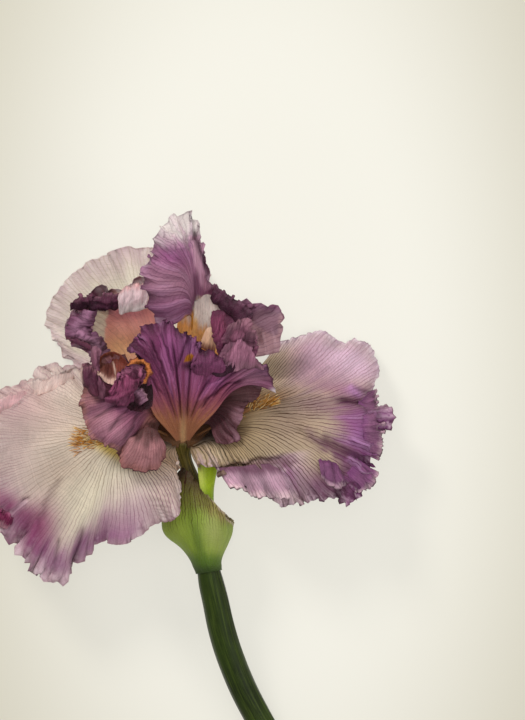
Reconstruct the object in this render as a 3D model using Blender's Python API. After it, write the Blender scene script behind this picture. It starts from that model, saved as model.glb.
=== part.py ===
"""One bearded iris flower, cut with its stalk and lying on a table, face up.

The flower has three falls (the outer petals, spreading), three standards (the inner petals, rising),
three petal-like style arms in the middle with a stamen under each, an ovary below them inside two
green bracts (the spathe), and a cut stalk. It rests on the back fall, on the back rims of the two side
falls and on the cut end of the stalk.

Frame: metres, +Z up, the table at Z = 0, the origin on the table under the middle of the bounding box.
+Y runs from the cut end of the stalk towards the top of the flower, +X to the flower's right.
"""
import math

import bmesh
import bpy
import numpy as np

# ---------------------------------------------------------------- driving dimensions, in mm
PETAL_T = 1.0        # thickness of a petal as a solid
STYLE_T = 0.8        # thickness of a style arm
SPATHE_T = 0.8       # thickness of the bracts
STEM_SIDES = 3       # bevel resolution of the stalk
SHIFT_X, SHIFT_Y = 29.254, 54.595   # moves the drawing's centre so that the origin is under the bounding box's centre
# ---------------------------------------------------------------- drawing frame
# Every control point is (a, b, h): a to the right and b downwards in front-view drawing units,
# h the height above the table in millimetres. One unit is UNIT mm at the height REF_H.
UNIT = 0.39        # mm per drawing unit
VIEW_H = 1100.0    # mm, height of the front view's eye point above the table
REF_H = 30.0       # mm, height of the flower's centre above the table
MID_A, MID_B = 262.5, 360.0


def to_mm(points):
    """Drawing points (..., 3) as millimetres above the table."""
    p = np.asarray(points, float)
    s = UNIT * (VIEW_H - p[..., 2]) / (VIEW_H - REF_H)
    return np.stack([(p[..., 0] - MID_A) * s, (MID_B - p[..., 1]) * s, p[..., 2]], -1)


def spline_rows(n, t):
    """Weights of n evenly spaced knots for a natural cubic spline at each t from 0 to 1."""
    a, d = np.eye(n), np.zeros((n, n))
    for i in range(1, n - 1):
        a[i, i - 1 : i + 2] = 1, 4, 1
        d[i, i - 1 : i + 2] = 6, -12, 6
    bend = np.linalg.solve(a, d)
    x = np.clip(np.asarray(t, float), 0, 1) * (n - 1)
    k = np.minimum(x.astype(int), n - 2)
    f = x - k
    g = 1 - f
    w = np.zeros((len(x), n))
    r = np.arange(len(x))
    w[r, k] += g
    w[r, k + 1] += f
    w += ((g**3 - g) / 6)[:, None] * bend[k] + ((f**3 - f) / 6)[:, None] * bend[k + 1]
    return w


RING_A, RING_B, RING_R = 183.0, 443.0, 4.5   # centre of the ring the petals rise from, and its radius in mm


def ring(angle, spread, n, radius=RING_R, b=RING_B, h=REF_H):
    """n drawing points on the ring of petal bases, about angle (0 faces the viewer, 90 the right)."""
    out = []
    for i in range(n):
        t = math.radians(angle + spread * (2 * i / (n - 1) - 1))
        out.append((RING_A + radius * math.sin(t) / UNIT, b, h + radius * math.cos(t)))
    return out


# ---------------------------------------------------------------- petals, vein by vein
# Each petal is a fan of veins. A row below is one vein from just above the ring to the margin.
FALL_LEFT = [
    [(160, 428, 30), (135, 412, 28), (112, 398, 22), (97, 385, 12), (88, 373, 5)],
    [(160, 430, 31.5), (130, 416, 31), (99, 398, 23), (79, 380, 9), (68, 369, 1.5)],
    [(160, 432, 33), (125, 421, 34), (84, 403, 27), (55, 383, 9), (38, 369, 0.2)],
    [(160, 434, 34.5), (120, 425, 36.5), (72, 411, 31), (35, 395, 12), (13, 385, 0.6)],
    [(160, 436, 35.5), (116, 429, 38.5), (65, 423, 35), (22, 414, 18), (-3, 408, 6)],
    [(160, 437.5, 36.2), (112, 433, 40), (60, 438, 38), (15, 442, 27), (-12, 446, 16)],
    [(160, 439, 36.8), (111, 438, 41), (60, 457, 40), (15, 477, 32), (-12, 490, 22)],
    [(160.5, 440, 37.2), (111, 442, 41.8), (66, 474, 42), (25, 508, 35), (0, 535, 27)],
    [(161, 441, 37.5), (113, 446, 42.2), (76, 488, 44), (42, 530, 37), (27, 560, 29)],
    [(161.5, 442, 37.7), (115, 449, 42.5), (89, 496, 46), (67, 546, 39), (56, 583, 30)],
    [(162, 443, 37.8), (119, 452, 42.8), (103, 496, 48), (94, 532, 42), (90, 553, 36)],
    [(163, 444, 37.8), (125, 454, 43), (121, 491, 50), (122, 521, 46), (122, 541, 41)],
    [(164.5, 445, 37.7), (133, 456, 43), (138, 485, 51), (146, 511, 49), (151, 530, 45)],
    [(166, 446, 37.5), (144, 457, 42.5), (157, 479, 50), (167, 500, 50), (173, 518, 47)],
    [(168, 447, 37), (155, 456, 41.5), (168, 469, 46), (175, 483, 47), (178.5, 497, 46)],
    [(171, 448, 36.6), (168, 455, 40), (172.5, 462, 42), (176.5, 468, 43), (179, 475, 43)],
    [(175.5, 448, 36.6), (176.5, 452, 38.6), (178, 456, 40.4), (179.5, 460, 41.6), (181, 464, 42.3)],
]
FALL_RIGHT = [
    [(205, 428, 29), (230, 398, 24), (255, 372, 16), (270, 355, 9), (279, 343, 5)],
    [(206, 429, 31), (235, 402, 29), (266, 375, 19), (287, 350, 8), (298, 333, 1.5)],
    [(206, 430, 33), (240, 405, 33), (280, 380, 24), (306, 352, 9), (320, 338, 0.2)],
    [(207, 431, 34.5), (245, 408, 36), (293, 385, 28), (326, 356, 12), (344, 337, 0.2)],
    [(207, 432, 35.5), (249, 410, 38), (303, 390, 31), (345, 362, 15), (367, 341, 2.5)],
    [(207, 433, 36), (252, 411, 39.5), (310, 396, 34), (354, 374, 21), (374, 358, 9)],
    [(207, 434, 36.5), (254, 413, 40.5), (313, 403, 36), (356, 390, 25), (375, 380, 14)],
    [(206, 435, 36.8), (255, 415, 41), (314, 411, 38), (358, 405, 28), (379, 401, 18)],
    [(206, 436, 37), (255, 417, 41.5), (313, 419, 39.5), (361, 422, 31), (386, 424, 22)],
    [(205, 437, 37.2), (254, 420, 42), (310, 428, 41), (356, 440, 34), (379, 448, 26)],
    [(205, 438, 37.3), (252, 423, 42.3), (306, 436, 42.5), (350, 456, 37), (374, 470, 29)],
    [(204, 439, 37.4), (249, 427, 42.6), (299, 444, 44), (338, 472, 40), (362, 492, 33)],
    [(203, 440, 37.4), (244, 431, 42.8), (288, 451, 45.5), (318, 481, 43), (336, 503, 37)],
    [(202, 441, 37.3), (238, 435, 42.8), (272, 457, 46), (294, 484, 45), (305, 507, 40)],
    [(200, 442, 37.1), (230, 438, 42.5), (254, 459, 45.5), (268, 480, 46), (276, 498, 42)],
    [(198, 443.5, 36.8), (220, 440, 41.5), (236, 456, 44), (245, 472, 45), (250, 487, 43)],
    [(196, 445, 36.3), (210, 442, 40), (219, 453, 42), (225, 464, 43), (229, 476, 42)],
    [(194, 447, 35.8), (197.5, 447, 38), (201, 452, 39.5), (205, 459, 40.5), (208, 466, 41)],
    [(190.5, 448, 35.6), (190.5, 451, 37.2), (192, 455.5, 38.4), (195, 461, 39.3), (199, 467, 40)],
]
FALL_BACK = [
    [(178, 432, 20), (150, 412, 9.5), (120, 398, 4), (100, 385, 2.5), (86, 370, 3)],
    [(176, 429, 19), (148, 404, 8.5), (113, 380, 1.6), (88, 366, 0.3), (68, 357, 1.2)],
    [(175, 427, 18.5), (147, 397, 7.5), (109, 365, 0.6), (78, 350, 0.2), (53, 338, 1.8)],
    [(175, 425, 18), (147, 391, 7), (109, 351, 0.3), (75, 331, 0.2), (46, 318, 2.5)],
    [(176, 423, 18), (149, 386, 6.5), (114, 338, 0.2), (83, 314, 0.2), (54, 295, 3.5)],
    [(177, 421, 18), (152, 381, 6.5), (122, 328, 0.2), (98, 298, 0.2), (74, 273, 4.5)],
    [(178, 420, 18), (156, 377, 6.5), (133, 321, 0.2), (117, 286, 0.2), (101, 257, 4.5)],
    [(180, 419, 18.5), (161, 374, 7), (146, 317, 0.8), (138, 280, 0.3), (131, 248, 3.6)],
    [(182, 419, 19), (167, 372, 8.5), (160, 315, 1.6), (161, 279, 0.8), (163, 249, 3.2)],
    [(184, 420, 19.5), (173, 372, 9), (173, 318, 3), (181, 284, 2), (190, 257, 3.3)],
    [(186, 422, 20), (179, 374, 10), (185, 325, 4), (198, 296, 3), (212, 275, 3.5)],
]
STANDARD_FRONT = [
    [(166, 429, 44.5), (154, 415, 51.5), (149, 399, 55), (148, 383, 56.5), (150, 370, 57)],
    [(169, 425, 44), (159, 404, 52), (152, 386, 56.5), (145, 370, 59), (138, 359, 59)],
    [(173, 421, 43), (163, 396, 52), (153, 374, 58), (141, 358, 61), (131, 350, 60)],
    [(175, 418, 43.5), (166, 390, 53), (155, 364, 59), (143, 346, 61), (133, 337, 59)],
    [(178, 416, 44), (170, 386, 53), (161, 358, 59), (152, 338, 61), (146, 326, 58)],
    [(181, 415, 44), (177, 385, 53), (172, 356, 59), (168, 337, 60), (166, 323, 56)],
    [(184, 415, 44), (184, 385, 53), (184, 358, 58), (185, 342, 58.5), (186, 329, 55)],
    [(188, 416, 44), (192, 389, 53), (195, 369, 57), (197, 356, 58), (198, 346, 56)],
    [(191, 418, 43.8), (202, 394, 52.5), (211, 375, 56), (217, 362, 58), (220, 352, 57)],
    [(194, 421, 43.3), (208, 400, 51), (223, 382, 55), (238, 369, 57.5), (248, 359, 57)],
    [(197.5, 424, 43), (214, 405, 49.7), (230, 385, 54), (249, 375, 56), (267, 371, 56)],
    [(199.5, 428, 42.3), (216, 411, 48.7), (230, 393, 52.5), (251, 386, 54.5), (275, 394, 54)],
]
STANDARD_LEFT = [
    [(160, 422, 29), (138, 396, 27), (115, 376, 24), (98, 362, 23), (86, 352, 26)],
    [(161, 418, 28.5), (138, 386, 26), (112, 360, 23), (90, 345, 24), (70, 336, 29)],
    [(163, 414, 28), (139, 376, 25), (113, 346, 22), (92, 330, 25), (68, 326, 30)],
    [(165, 411, 27.5), (142, 366, 24), (120, 333, 21), (98, 316, 24), (78, 305, 31)],
    [(167, 408, 27), (146, 358, 23), (128, 325, 20), (112, 308, 24), (97, 297, 31)],
    [(169, 406, 26.5), (151, 352, 22), (137, 318, 20), (126, 302, 24), (118, 290, 31)],
    [(171, 404, 26), (157, 348, 22), (147, 313, 21), (140, 297, 25), (138, 286, 32)],
    [(173, 402, 25.8), (164, 346, 22), (158, 310, 22), (155, 292, 27), (158, 280, 34)],
    [(175, 402, 25.5), (170, 348, 22), (168, 312, 22), (170, 292, 26), (176, 280, 32)],
]
STANDARD_RIGHT = [
    [(188, 398, 27), (190, 346, 33), (191, 316, 43), (177, 322, 49.5), (158, 327, 49)],
    [(188.5, 398, 27), (191, 344, 33), (190, 303, 46), (168, 305, 54), (146, 305, 51)],
    [(189, 398, 27), (192, 342, 33), (188, 293, 47), (163, 288, 57), (141, 285, 52)],
    [(190, 397, 27), (193, 341, 32), (188, 286, 47), (166, 273, 57), (146, 264, 52)],
    [(191, 397, 27), (194, 340, 32), (189, 281, 46), (171, 261, 56), (151, 247, 51)],
    [(192, 396, 27), (195, 339, 31.5), (191, 277, 45), (177, 250, 53), (158, 231, 49)],
    [(193, 396, 27), (196, 338, 31), (193, 274, 43), (184, 242, 49), (170, 218, 46)],
    [(194, 396, 27), (198, 338, 30.5), (196, 273, 41), (192, 240, 44), (188, 212, 43)],
    [(195, 396, 27), (200, 338, 30), (199, 275, 38), (199, 252, 40), (198, 236, 41)],
    [(196, 397, 27.3), (203, 339, 29), (203, 285, 35.5), (204, 272, 37.5), (204, 260, 39)],
    [(197, 398, 27.6), (206, 341, 28.5), (208, 300, 32), (212, 290, 34.5), (215, 284, 37)],
    [(198, 399, 28), (209, 344, 28.5), (217, 315, 30), (228, 309, 32), (238, 305, 36)],
    [(199, 401, 28.5), (213, 355, 29), (234, 334, 30), (258, 322, 31), (281, 311, 35)],
    [(200, 404, 29), (216, 370, 30), (239, 359, 31), (261, 356, 31), (279, 352, 34)],
]
STYLE_LEFT = [
    [(176, 428, 37.2), (160, 424, 45.8), (159, 437, 52.2), (163, 448, 54), (164, 457, 53)],
    [(174, 426, 37.7), (157, 421, 47.8), (153, 440, 56.2), (154, 455, 58), (152, 467, 55)],
    [(172, 424, 38.2), (154, 419, 48.3), (145, 436, 57.2), (137, 453, 57.5), (132, 467, 54)],
    [(170, 422, 38.2), (151, 416, 48.8), (141, 431, 53.2), (129, 445, 52), (119, 458, 50.5)],
    [(169, 420, 38.7), (149, 413, 50.8), (136, 428, 58.2), (125, 440, 60), (117, 450, 57)],
    [(169, 418, 39.2), (146, 410, 51.8), (128, 423, 60.2), (113, 436, 62), (103, 446, 58)],
    [(168, 416, 39.2), (143, 407, 52.3), (122, 415, 60.2), (104, 425, 61), (91, 436, 57)],
    [(168, 414, 39.2), (141, 404, 52.3), (118, 406, 59.2), (99, 413, 59), (84, 421, 55)],
    [(168, 412, 39.2), (140, 401, 51.8), (117, 398, 56.2), (97, 399, 56), (80, 402, 53)],
    [(168, 410, 39.2), (140, 398, 50.8), (119, 390, 53.2), (101, 386, 54), (84, 384, 54)],
    [(168, 408, 38.7), (141, 395, 49.8), (123, 383, 51.2), (107, 374, 54), (94, 368, 57)],
    [(169, 406, 38.2), (143, 392, 48.8), (129, 378, 50.2), (117, 367, 54), (108, 357, 58)],
    [(170, 404, 37.7), (146, 390, 47.8), (137, 376, 50.2), (130, 364, 54), (125, 354, 57)],
]
STYLE_RIGHT = [
    [(191, 431, 37), (207, 424, 39), (212, 432, 42), (214, 438, 43.5), (216, 443, 44)],
    [(192, 429, 37.5), (212, 418, 41), (222, 428, 45), (228, 437, 46), (233, 443, 45)],
    [(193, 427, 38), (215, 413, 42), (228, 420, 46), (234, 427, 47), (238, 433, 46)],
    [(194, 425, 38), (218, 408, 42), (232, 408, 46), (238, 411, 47), (243, 411, 46)],
    [(194, 423, 38), (219, 402, 41), (237, 396, 43.5), (248, 395, 44.5), (259, 396, 45)],
    [(194, 421, 37.3), (218, 393, 39.5), (235, 381, 41.5), (249, 377, 42.5), (262, 380, 43)],
]
STYLE_BACK = [
    [(177, 424, 24.2), (162, 398, 19.6), (150, 376, 16.3), (140, 362, 15), (133, 352, 16)],
    [(179, 422, 23.9), (168, 392, 19.1), (158, 366, 15.8), (151, 348, 14.5), (146, 336, 16)],
    [(181, 421, 23.8), (172, 390, 18.9), (166, 364, 15.8), (162, 350, 14.5), (160, 341, 15.5)],
    [(183, 422, 23.9), (177, 392, 19.1), (175, 366, 15.8), (175, 348, 14.5), (175, 336, 16)],
    [(185, 424, 24.2), (182, 397, 19.6), (183, 376, 16.3), (186, 362, 15), (190, 352, 16)],
]
SPATHE_OUTER = [
    [(208.5, 563, 16), (211, 548, 14), (211, 521, 14.5), (206, 501, 17)],
    [(216.5, 562, 18), (220, 548, 17), (226, 531, 17), (229, 518, 19)],
    [(221, 561, 22.8), (226, 547, 22), (231.5, 533, 22.5), (233, 523, 25)],
    [(218, 560, 28), (222, 545, 29), (226, 529, 31), (223, 512, 33.5)],
    [(210, 560, 31), (211, 542, 34), (210, 518, 37), (205, 492, 36.5)],
    [(201, 560, 31.3), (197, 541, 34.5), (193, 513, 37.5), (192, 475, 37)],
    [(194, 560, 28.5), (185, 543, 31.5), (175, 519, 34), (180, 470, 35)],
    [(190.5, 560, 23.5), (177, 544, 24.5), (162.5, 527, 26), (170, 485, 29)],
    [(194, 561, 19), (181, 543, 18), (170, 523, 18), (177, 490, 21)],
    [(201, 562, 16.3), (194, 545, 14), (188, 521, 14.5), (188, 499, 17)],
]
SPATHE_BASE = [(209 + 14.1 * math.sin(math.radians(t)), 572 - 2 * math.sin(math.radians(t)), 23.3 + 5.5 * math.cos(math.radians(t)))
               for t in np.linspace(170, -170, 10)]
SPATHE_INNER = [
    [(213.5, 536, 22), (212, 515, 23), (211, 490, 25), (213, 472, 27), (213, 462, 28.5)],
    [(215.5, 536, 25.5), (214, 515, 27), (213.5, 490, 29), (216.5, 472, 30.5), (217, 462, 31.5)],
    [(213.5, 536, 29.8), (210.5, 515, 31.8), (208.5, 490, 33), (210, 472, 33.4), (210, 461, 33.8)],
    [(208, 536, 31.6), (203.5, 515, 33.6), (200, 490, 34.4), (198, 472, 34.2), (197.5, 462, 34.2)],
]
SPATHE_INNER_BASE = [(215, 552, 21.5), (217, 552, 24.5), (215, 552, 28.3), (210.5, 552, 29.8)]
PETALS = {
    "fall_left": (FALL_LEFT, ring(-60, 27, len(FALL_LEFT))),
    "fall_right": (FALL_RIGHT, ring(60, -27, len(FALL_RIGHT))),
    "fall_back": (FALL_BACK, ring(180, 27, len(FALL_BACK))),
    "standard_front": (STANDARD_FRONT, ring(0, 27, len(STANDARD_FRONT))),
    "standard_left": (STANDARD_LEFT, ring(-120, 27, len(STANDARD_LEFT))),
    "standard_right": (STANDARD_RIGHT, ring(120, -27, len(STANDARD_RIGHT))),
    "style_arm_left": (STYLE_LEFT, ring(-60, 22, len(STYLE_LEFT), radius=1.6)),
    "style_arm_right": (STYLE_RIGHT, ring(60, -22, len(STYLE_RIGHT), radius=1.6)),
    "style_arm_back": (STYLE_BACK, ring(180, 22, len(STYLE_BACK), radius=1.6)),
    "spathe_outer": (SPATHE_OUTER, SPATHE_BASE),
    "spathe_inner": (SPATHE_INNER, SPATHE_INNER_BASE),
}


def net(name):
    """A petal's control net in drawing units, (veins, points, 3), from its base to its margin."""
    veins, base = PETALS[name]
    return np.array([[b, *v] for b, v in zip(base, veins)], float)


def sheet(name, us, vs):
    """Points of a petal's middle surface in mm, at each us across the petal and vs along its veins."""
    c = net(name)
    return np.einsum("ui,ijk,vj->uvk", spline_rows(c.shape[0], us), to_mm(c), spline_rows(c.shape[1], vs))



# waves of the margin: height in mm at the margin, where they begin along a vein, (waves across the petal, phase, share)
WAVES = {
    "fall_left": (2.4, 0.55, ((6.5, 0.4, 1.0), (10.3, 1.9, 0.6))),
    "fall_right": (2.2, 0.55, ((6.0, 2.2, 1.0), (9.2, 0.5, 0.6))),
    "fall_back": (2.0, 0.62, ((5.0, 1.0, 1.0), (8.4, 2.6, 0.5))),
    "standard_front": (1.6, 0.55, ((4.6, 0.9, 1.0), (7.3, 2.8, 0.7))),
    "standard_left": (1.6, 0.55, ((4.2, 2.0, 1.0), (6.6, 0.2, 0.6))),
    "standard_right": (1.6, 0.60, ((5.3, 0.2, 1.0), (8.1, 1.4, 0.6))),
    "style_arm_left": (0.7, 0.60, ((6.1, 0.2, 1.0), (8.3, 1.4, 0.6))),
    "style_arm_right": (0.5, 0.60, ((3.1, 0.2, 1.0), (4.6, 1.4, 0.6))),
    "style_arm_back": (0.6, 0.60, ((2.6, 0.2, 1.0), (3.9, 1.4, 0.6))),
    "spathe_outer": (0.5, 0.70, ((4.1, 0.2, 1.0), (6.6, 1.4, 0.6))),
    "spathe_inner": (0.3, 0.70, ((1.7, 0.2, 1.0), (2.6, 1.4, 0.6))),
}


def normals(p):
    du, dv = np.gradient(p, axis=0), np.gradient(p, axis=1)
    n = np.cross(du, dv)
    return n / np.maximum(np.linalg.norm(n, axis=-1, keepdims=True), 1e-9)


def surface(name, us, vs):
    """The middle surface in mm with its waved margin."""
    p = sheet(name, us, vs)
    height, start, terms = WAVES[name]
    us, vs = np.asarray(us, float)[:, None], np.asarray(vs, float)[None, :]
    rise = np.clip((vs - start) / (1 - start), 0, 1) ** 1.6
    wave = sum(share * np.sin(2 * math.pi * count * us + phase + 1.2 * vs) for count, phase, share in terms)
    return p + normals(p) * (height * rise * wave)[..., None]


def shell(p, thickness, floor=0.0):
    """Both faces of a sheet: upper and lower grids, kept above the table."""
    p = p.copy()
    p[..., 2] = np.maximum(p[..., 2], floor + thickness / 2)
    n = normals(p) * thickness / 2
    faces = []
    for side in (p + n, p - n):
        side[..., 2] = np.maximum(side[..., 2], floor)
        faces.append(side)
    return faces


# ---------------------------------------------------------------- round pieces: (a, b, h, radius in mm)
STEM = [(206.8, 561, 24.1, 4.3), (209, 572, 23.3, 4.55), (211.7, 585, 22.3, 5.0), (216, 603, 20.6, 5.2), (220, 622, 18.8, 5.35),
        (226.2, 645, 16.5, 5.4), (234, 667, 14.1, 5.4), (243.8, 690, 11.6, 5.4), (256.8, 715, 8.9, 5.4), (270.4, 738, 6.9, 5.35),
        (284, 758, 5.6, 5.3), (292, 770, 5.17, 5.3)]
OVARY = [(206.4, 559.6, 24.2, 3.0), (202.5, 542, 25.3, 3.5), (197.5, 515, 26.8, 4.3), (193, 490, 28.2, 4.1), (188, 470, 29.4, 2.9),
         (184.5, 458, 29.9, 2.7), (183, 451, 30, 3.6), (183, 445.5, 30, 5.0)]
FILAMENTS = {
    "stamen_left": [(175.4, 441, 31.9, 0.45), (168, 435.5, 35.9, 0.45), (155, 430, 41, 0.45), (143, 427, 43.8, 0.5), (138, 427, 45.2, 1.1),
                    (128, 427, 46.3, 1.3), (117, 428.5, 47, 1.0)],
    "stamen_right": [(190.2, 441, 31.9, 0.45), (199, 434.5, 36.2, 0.45), (214, 426, 39.6, 0.45), (226, 419, 42.2, 0.5), (231, 416.5, 42.6, 1.0),
                     (240, 412.5, 43.3, 1.1), (249, 409, 43.8, 0.9)],
    "stamen_back": [(183, 440, 26.6, 0.45), (181.5, 424, 22.2, 0.45), (175, 404, 17, 0.45), (170, 391, 13.8, 0.5), (168, 386, 13.2, 1.0),
                    (164, 374, 11.9, 1.2), (160, 362, 11, 0.9)],
}


def route(points, n):
    """n points (x, y, h, radius) in mm along the smooth line through the given points, evenly spaced along it."""
    p = np.asarray(points, float)
    q = np.concatenate([to_mm(p[:, :3]), p[:, 3:]], 1)
    fine = spline_rows(len(q), np.linspace(0, 1, 400)) @ q
    run = np.concatenate([[0], np.cumsum(np.linalg.norm(np.diff(fine[:, :3], axis=0), axis=1))])
    return np.stack([np.interp(np.linspace(0, run[-1], n), run, fine[:, k]) for k in range(4)], 1)


# ---------------------------------------------------------------- building the solids
for old in list(bpy.data.objects):
    bpy.data.objects.remove(old, do_unlink=True)


def material(name, colour, roughness):
    m = bpy.data.materials.new(name)
    m.use_nodes = True
    shader = m.node_tree.nodes["Principled BSDF"]
    shader.inputs["Base Color"].default_value = (*colour, 1)
    shader.inputs["Roughness"].default_value = roughness
    shader.inputs["Metallic"].default_value = 0
    return m


FINISH = {
    "fall": material("fall_petal", (0.72, 0.62, 0.66), 0.6),
    "standard": material("standard_petal", (0.42, 0.22, 0.42), 0.6),
    "style_arm": material("style_arm", (0.40, 0.20, 0.33), 0.55),
    "stamen": material("stamen", (0.80, 0.62, 0.30), 0.7),
    "spathe": material("bract", (0.28, 0.42, 0.08), 0.5),
    "ovary": material("ovary", (0.22, 0.34, 0.10), 0.5),
    "stem": material("stalk", (0.10, 0.20, 0.05), 0.45),
}
plant = bpy.data.objects.new("iris", None)
bpy.context.scene.collection.objects.link(plant)


def place(points_mm):
    """Millimetres above the table as metres in the part's frame."""
    p = np.asarray(points_mm, float).copy()
    p[..., 0] += SHIFT_X
    p[..., 1] += SHIFT_Y
    return p / 1000.0


def add(obj, family):
    obj.data.materials.append(FINISH[family])
    bpy.context.scene.collection.objects.link(obj)
    obj.parent = plant
    return obj


def petal(name, family, across, along, thickness):
    """A petal as a fan of veins given thickness on both sides. Where it would sink into the table it lies flat on it."""
    front, back = shell(surface(name, np.linspace(0, 1, across), np.linspace(0, 1, along) ** 0.9), thickness)
    bm = bmesh.new()
    a = [[bm.verts.new(p) for p in row] for row in place(front)]
    b = [[bm.verts.new(p) for p in row] for row in place(back)]
    for i in range(across - 1):
        for j in range(along - 1):
            bm.faces.new((a[i][j], a[i + 1][j], a[i + 1][j + 1], a[i][j + 1]))
            bm.faces.new((b[i][j], b[i][j + 1], b[i + 1][j + 1], b[i + 1][j]))
    rim = [(i, 0) for i in range(across)] + [(across - 1, j) for j in range(1, along)]
    rim += [(i, along - 1) for i in range(across - 2, -1, -1)] + [(0, j) for j in range(along - 2, 0, -1)]
    for (i, j), (k, m) in zip(rim, rim[1:] + rim[:1]):
        bm.faces.new((a[k][m], a[i][j], b[i][j], b[k][m]))
    bmesh.ops.triangulate(bm, faces=bm.faces)
    mesh = bpy.data.meshes.new(name)
    bm.to_mesh(mesh)
    bm.free()
    mesh.shade_smooth()
    return add(bpy.data.objects.new(name, mesh), family)


def rod(name, family, points, n, resolution):
    """A round piece along a smooth line, with its own radius at each point and flat ends."""
    line = route(points, n)
    xyz = place(line[:, :3])
    widest = line[:, 3].max() / 1000.0
    curve = bpy.data.curves.new(name, "CURVE")
    curve.dimensions = "3D"
    curve.bevel_depth = widest
    curve.bevel_resolution = resolution
    curve.use_fill_caps = True
    spline = curve.splines.new("POLY")
    spline.points.add(n - 1)
    for point, p, r in zip(spline.points, xyz, line[:, 3]):
        point.co = (*p, 1)
        point.radius = r / 1000.0 / widest
    return add(bpy.data.objects.new(name, curve), family)


petal("fall_left", "fall", 40, 13, PETAL_T)
petal("fall_right", "fall", 38, 13, PETAL_T)
petal("fall_back", "fall", 30, 13, PETAL_T)
petal("standard_front", "standard", 30, 11, PETAL_T)
petal("standard_left", "standard", 24, 11, PETAL_T)
petal("standard_right", "standard", 28, 13, PETAL_T)
petal("style_arm_left", "style_arm", 26, 10, STYLE_T)
petal("style_arm_right", "style_arm", 12, 9, STYLE_T)
petal("style_arm_back", "style_arm", 10, 9, STYLE_T)
petal("spathe_outer", "spathe", 28, 9, SPATHE_T)
petal("spathe_inner", "spathe", 8, 9, SPATHE_T)
rod("ovary", "ovary", OVARY, 22, 3)
rod("stem", "stem", STEM, 26, STEM_SIDES)
for stamen, line in FILAMENTS.items():
    rod(stamen, "stamen", line, 14, 1)
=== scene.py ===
"""One bearded iris flower with its cut stalk, lying on its back on a pale surface, seen from above.

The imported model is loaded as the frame; every CAD node is replaced by, or given, a finely modelled piece
made from the same vein nets, with ruffled, laced margins and procedural materials.
"""
import math

import bpy
import numpy as np
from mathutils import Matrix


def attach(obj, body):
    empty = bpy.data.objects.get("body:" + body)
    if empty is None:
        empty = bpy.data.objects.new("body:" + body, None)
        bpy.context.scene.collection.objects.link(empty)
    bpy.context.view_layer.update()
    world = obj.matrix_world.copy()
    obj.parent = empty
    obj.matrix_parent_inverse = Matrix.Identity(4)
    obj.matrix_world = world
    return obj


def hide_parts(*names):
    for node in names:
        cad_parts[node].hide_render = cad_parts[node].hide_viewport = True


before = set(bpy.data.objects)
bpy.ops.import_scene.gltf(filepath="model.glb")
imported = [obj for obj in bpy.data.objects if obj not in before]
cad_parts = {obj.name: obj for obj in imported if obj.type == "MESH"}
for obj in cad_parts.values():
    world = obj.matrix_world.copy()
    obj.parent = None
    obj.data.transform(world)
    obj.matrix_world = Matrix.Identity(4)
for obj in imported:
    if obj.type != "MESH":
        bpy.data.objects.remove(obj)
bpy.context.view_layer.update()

SHIFT_X, SHIFT_Y = 29.254, 54.595   # mm from the drawing's centre to the frame's origin
# ---------------------------------------------------------------- drawing frame
# Every control point is (a, b, h): a to the right and b downwards in front-view drawing units,
# h the height above the table in millimetres. One unit is UNIT mm at the height REF_H.
UNIT = 0.39        # mm per drawing unit
VIEW_H = 1100.0    # mm, height of the front view's eye point above the table
REF_H = 30.0       # mm, height of the flower's centre above the table
MID_A, MID_B = 262.5, 360.0


def to_mm(points):
    """Drawing points (..., 3) as millimetres above the table."""
    p = np.asarray(points, float)
    s = UNIT * (VIEW_H - p[..., 2]) / (VIEW_H - REF_H)
    return np.stack([(p[..., 0] - MID_A) * s, (MID_B - p[..., 1]) * s, p[..., 2]], -1)


def spline_rows(n, t):
    """Weights of n evenly spaced knots for a natural cubic spline at each t from 0 to 1."""
    a, d = np.eye(n), np.zeros((n, n))
    for i in range(1, n - 1):
        a[i, i - 1 : i + 2] = 1, 4, 1
        d[i, i - 1 : i + 2] = 6, -12, 6
    bend = np.linalg.solve(a, d)
    x = np.clip(np.asarray(t, float), 0, 1) * (n - 1)
    k = np.minimum(x.astype(int), n - 2)
    f = x - k
    g = 1 - f
    w = np.zeros((len(x), n))
    r = np.arange(len(x))
    w[r, k] += g
    w[r, k + 1] += f
    w += ((g**3 - g) / 6)[:, None] * bend[k] + ((f**3 - f) / 6)[:, None] * bend[k + 1]
    return w


RING_A, RING_B, RING_R = 183.0, 443.0, 4.5   # centre of the ring the petals rise from, and its radius in mm


def ring(angle, spread, n, radius=RING_R, b=RING_B, h=REF_H):
    """n drawing points on the ring of petal bases, about angle (0 faces the viewer, 90 the right)."""
    out = []
    for i in range(n):
        t = math.radians(angle + spread * (2 * i / (n - 1) - 1))
        out.append((RING_A + radius * math.sin(t) / UNIT, b, h + radius * math.cos(t)))
    return out


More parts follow.
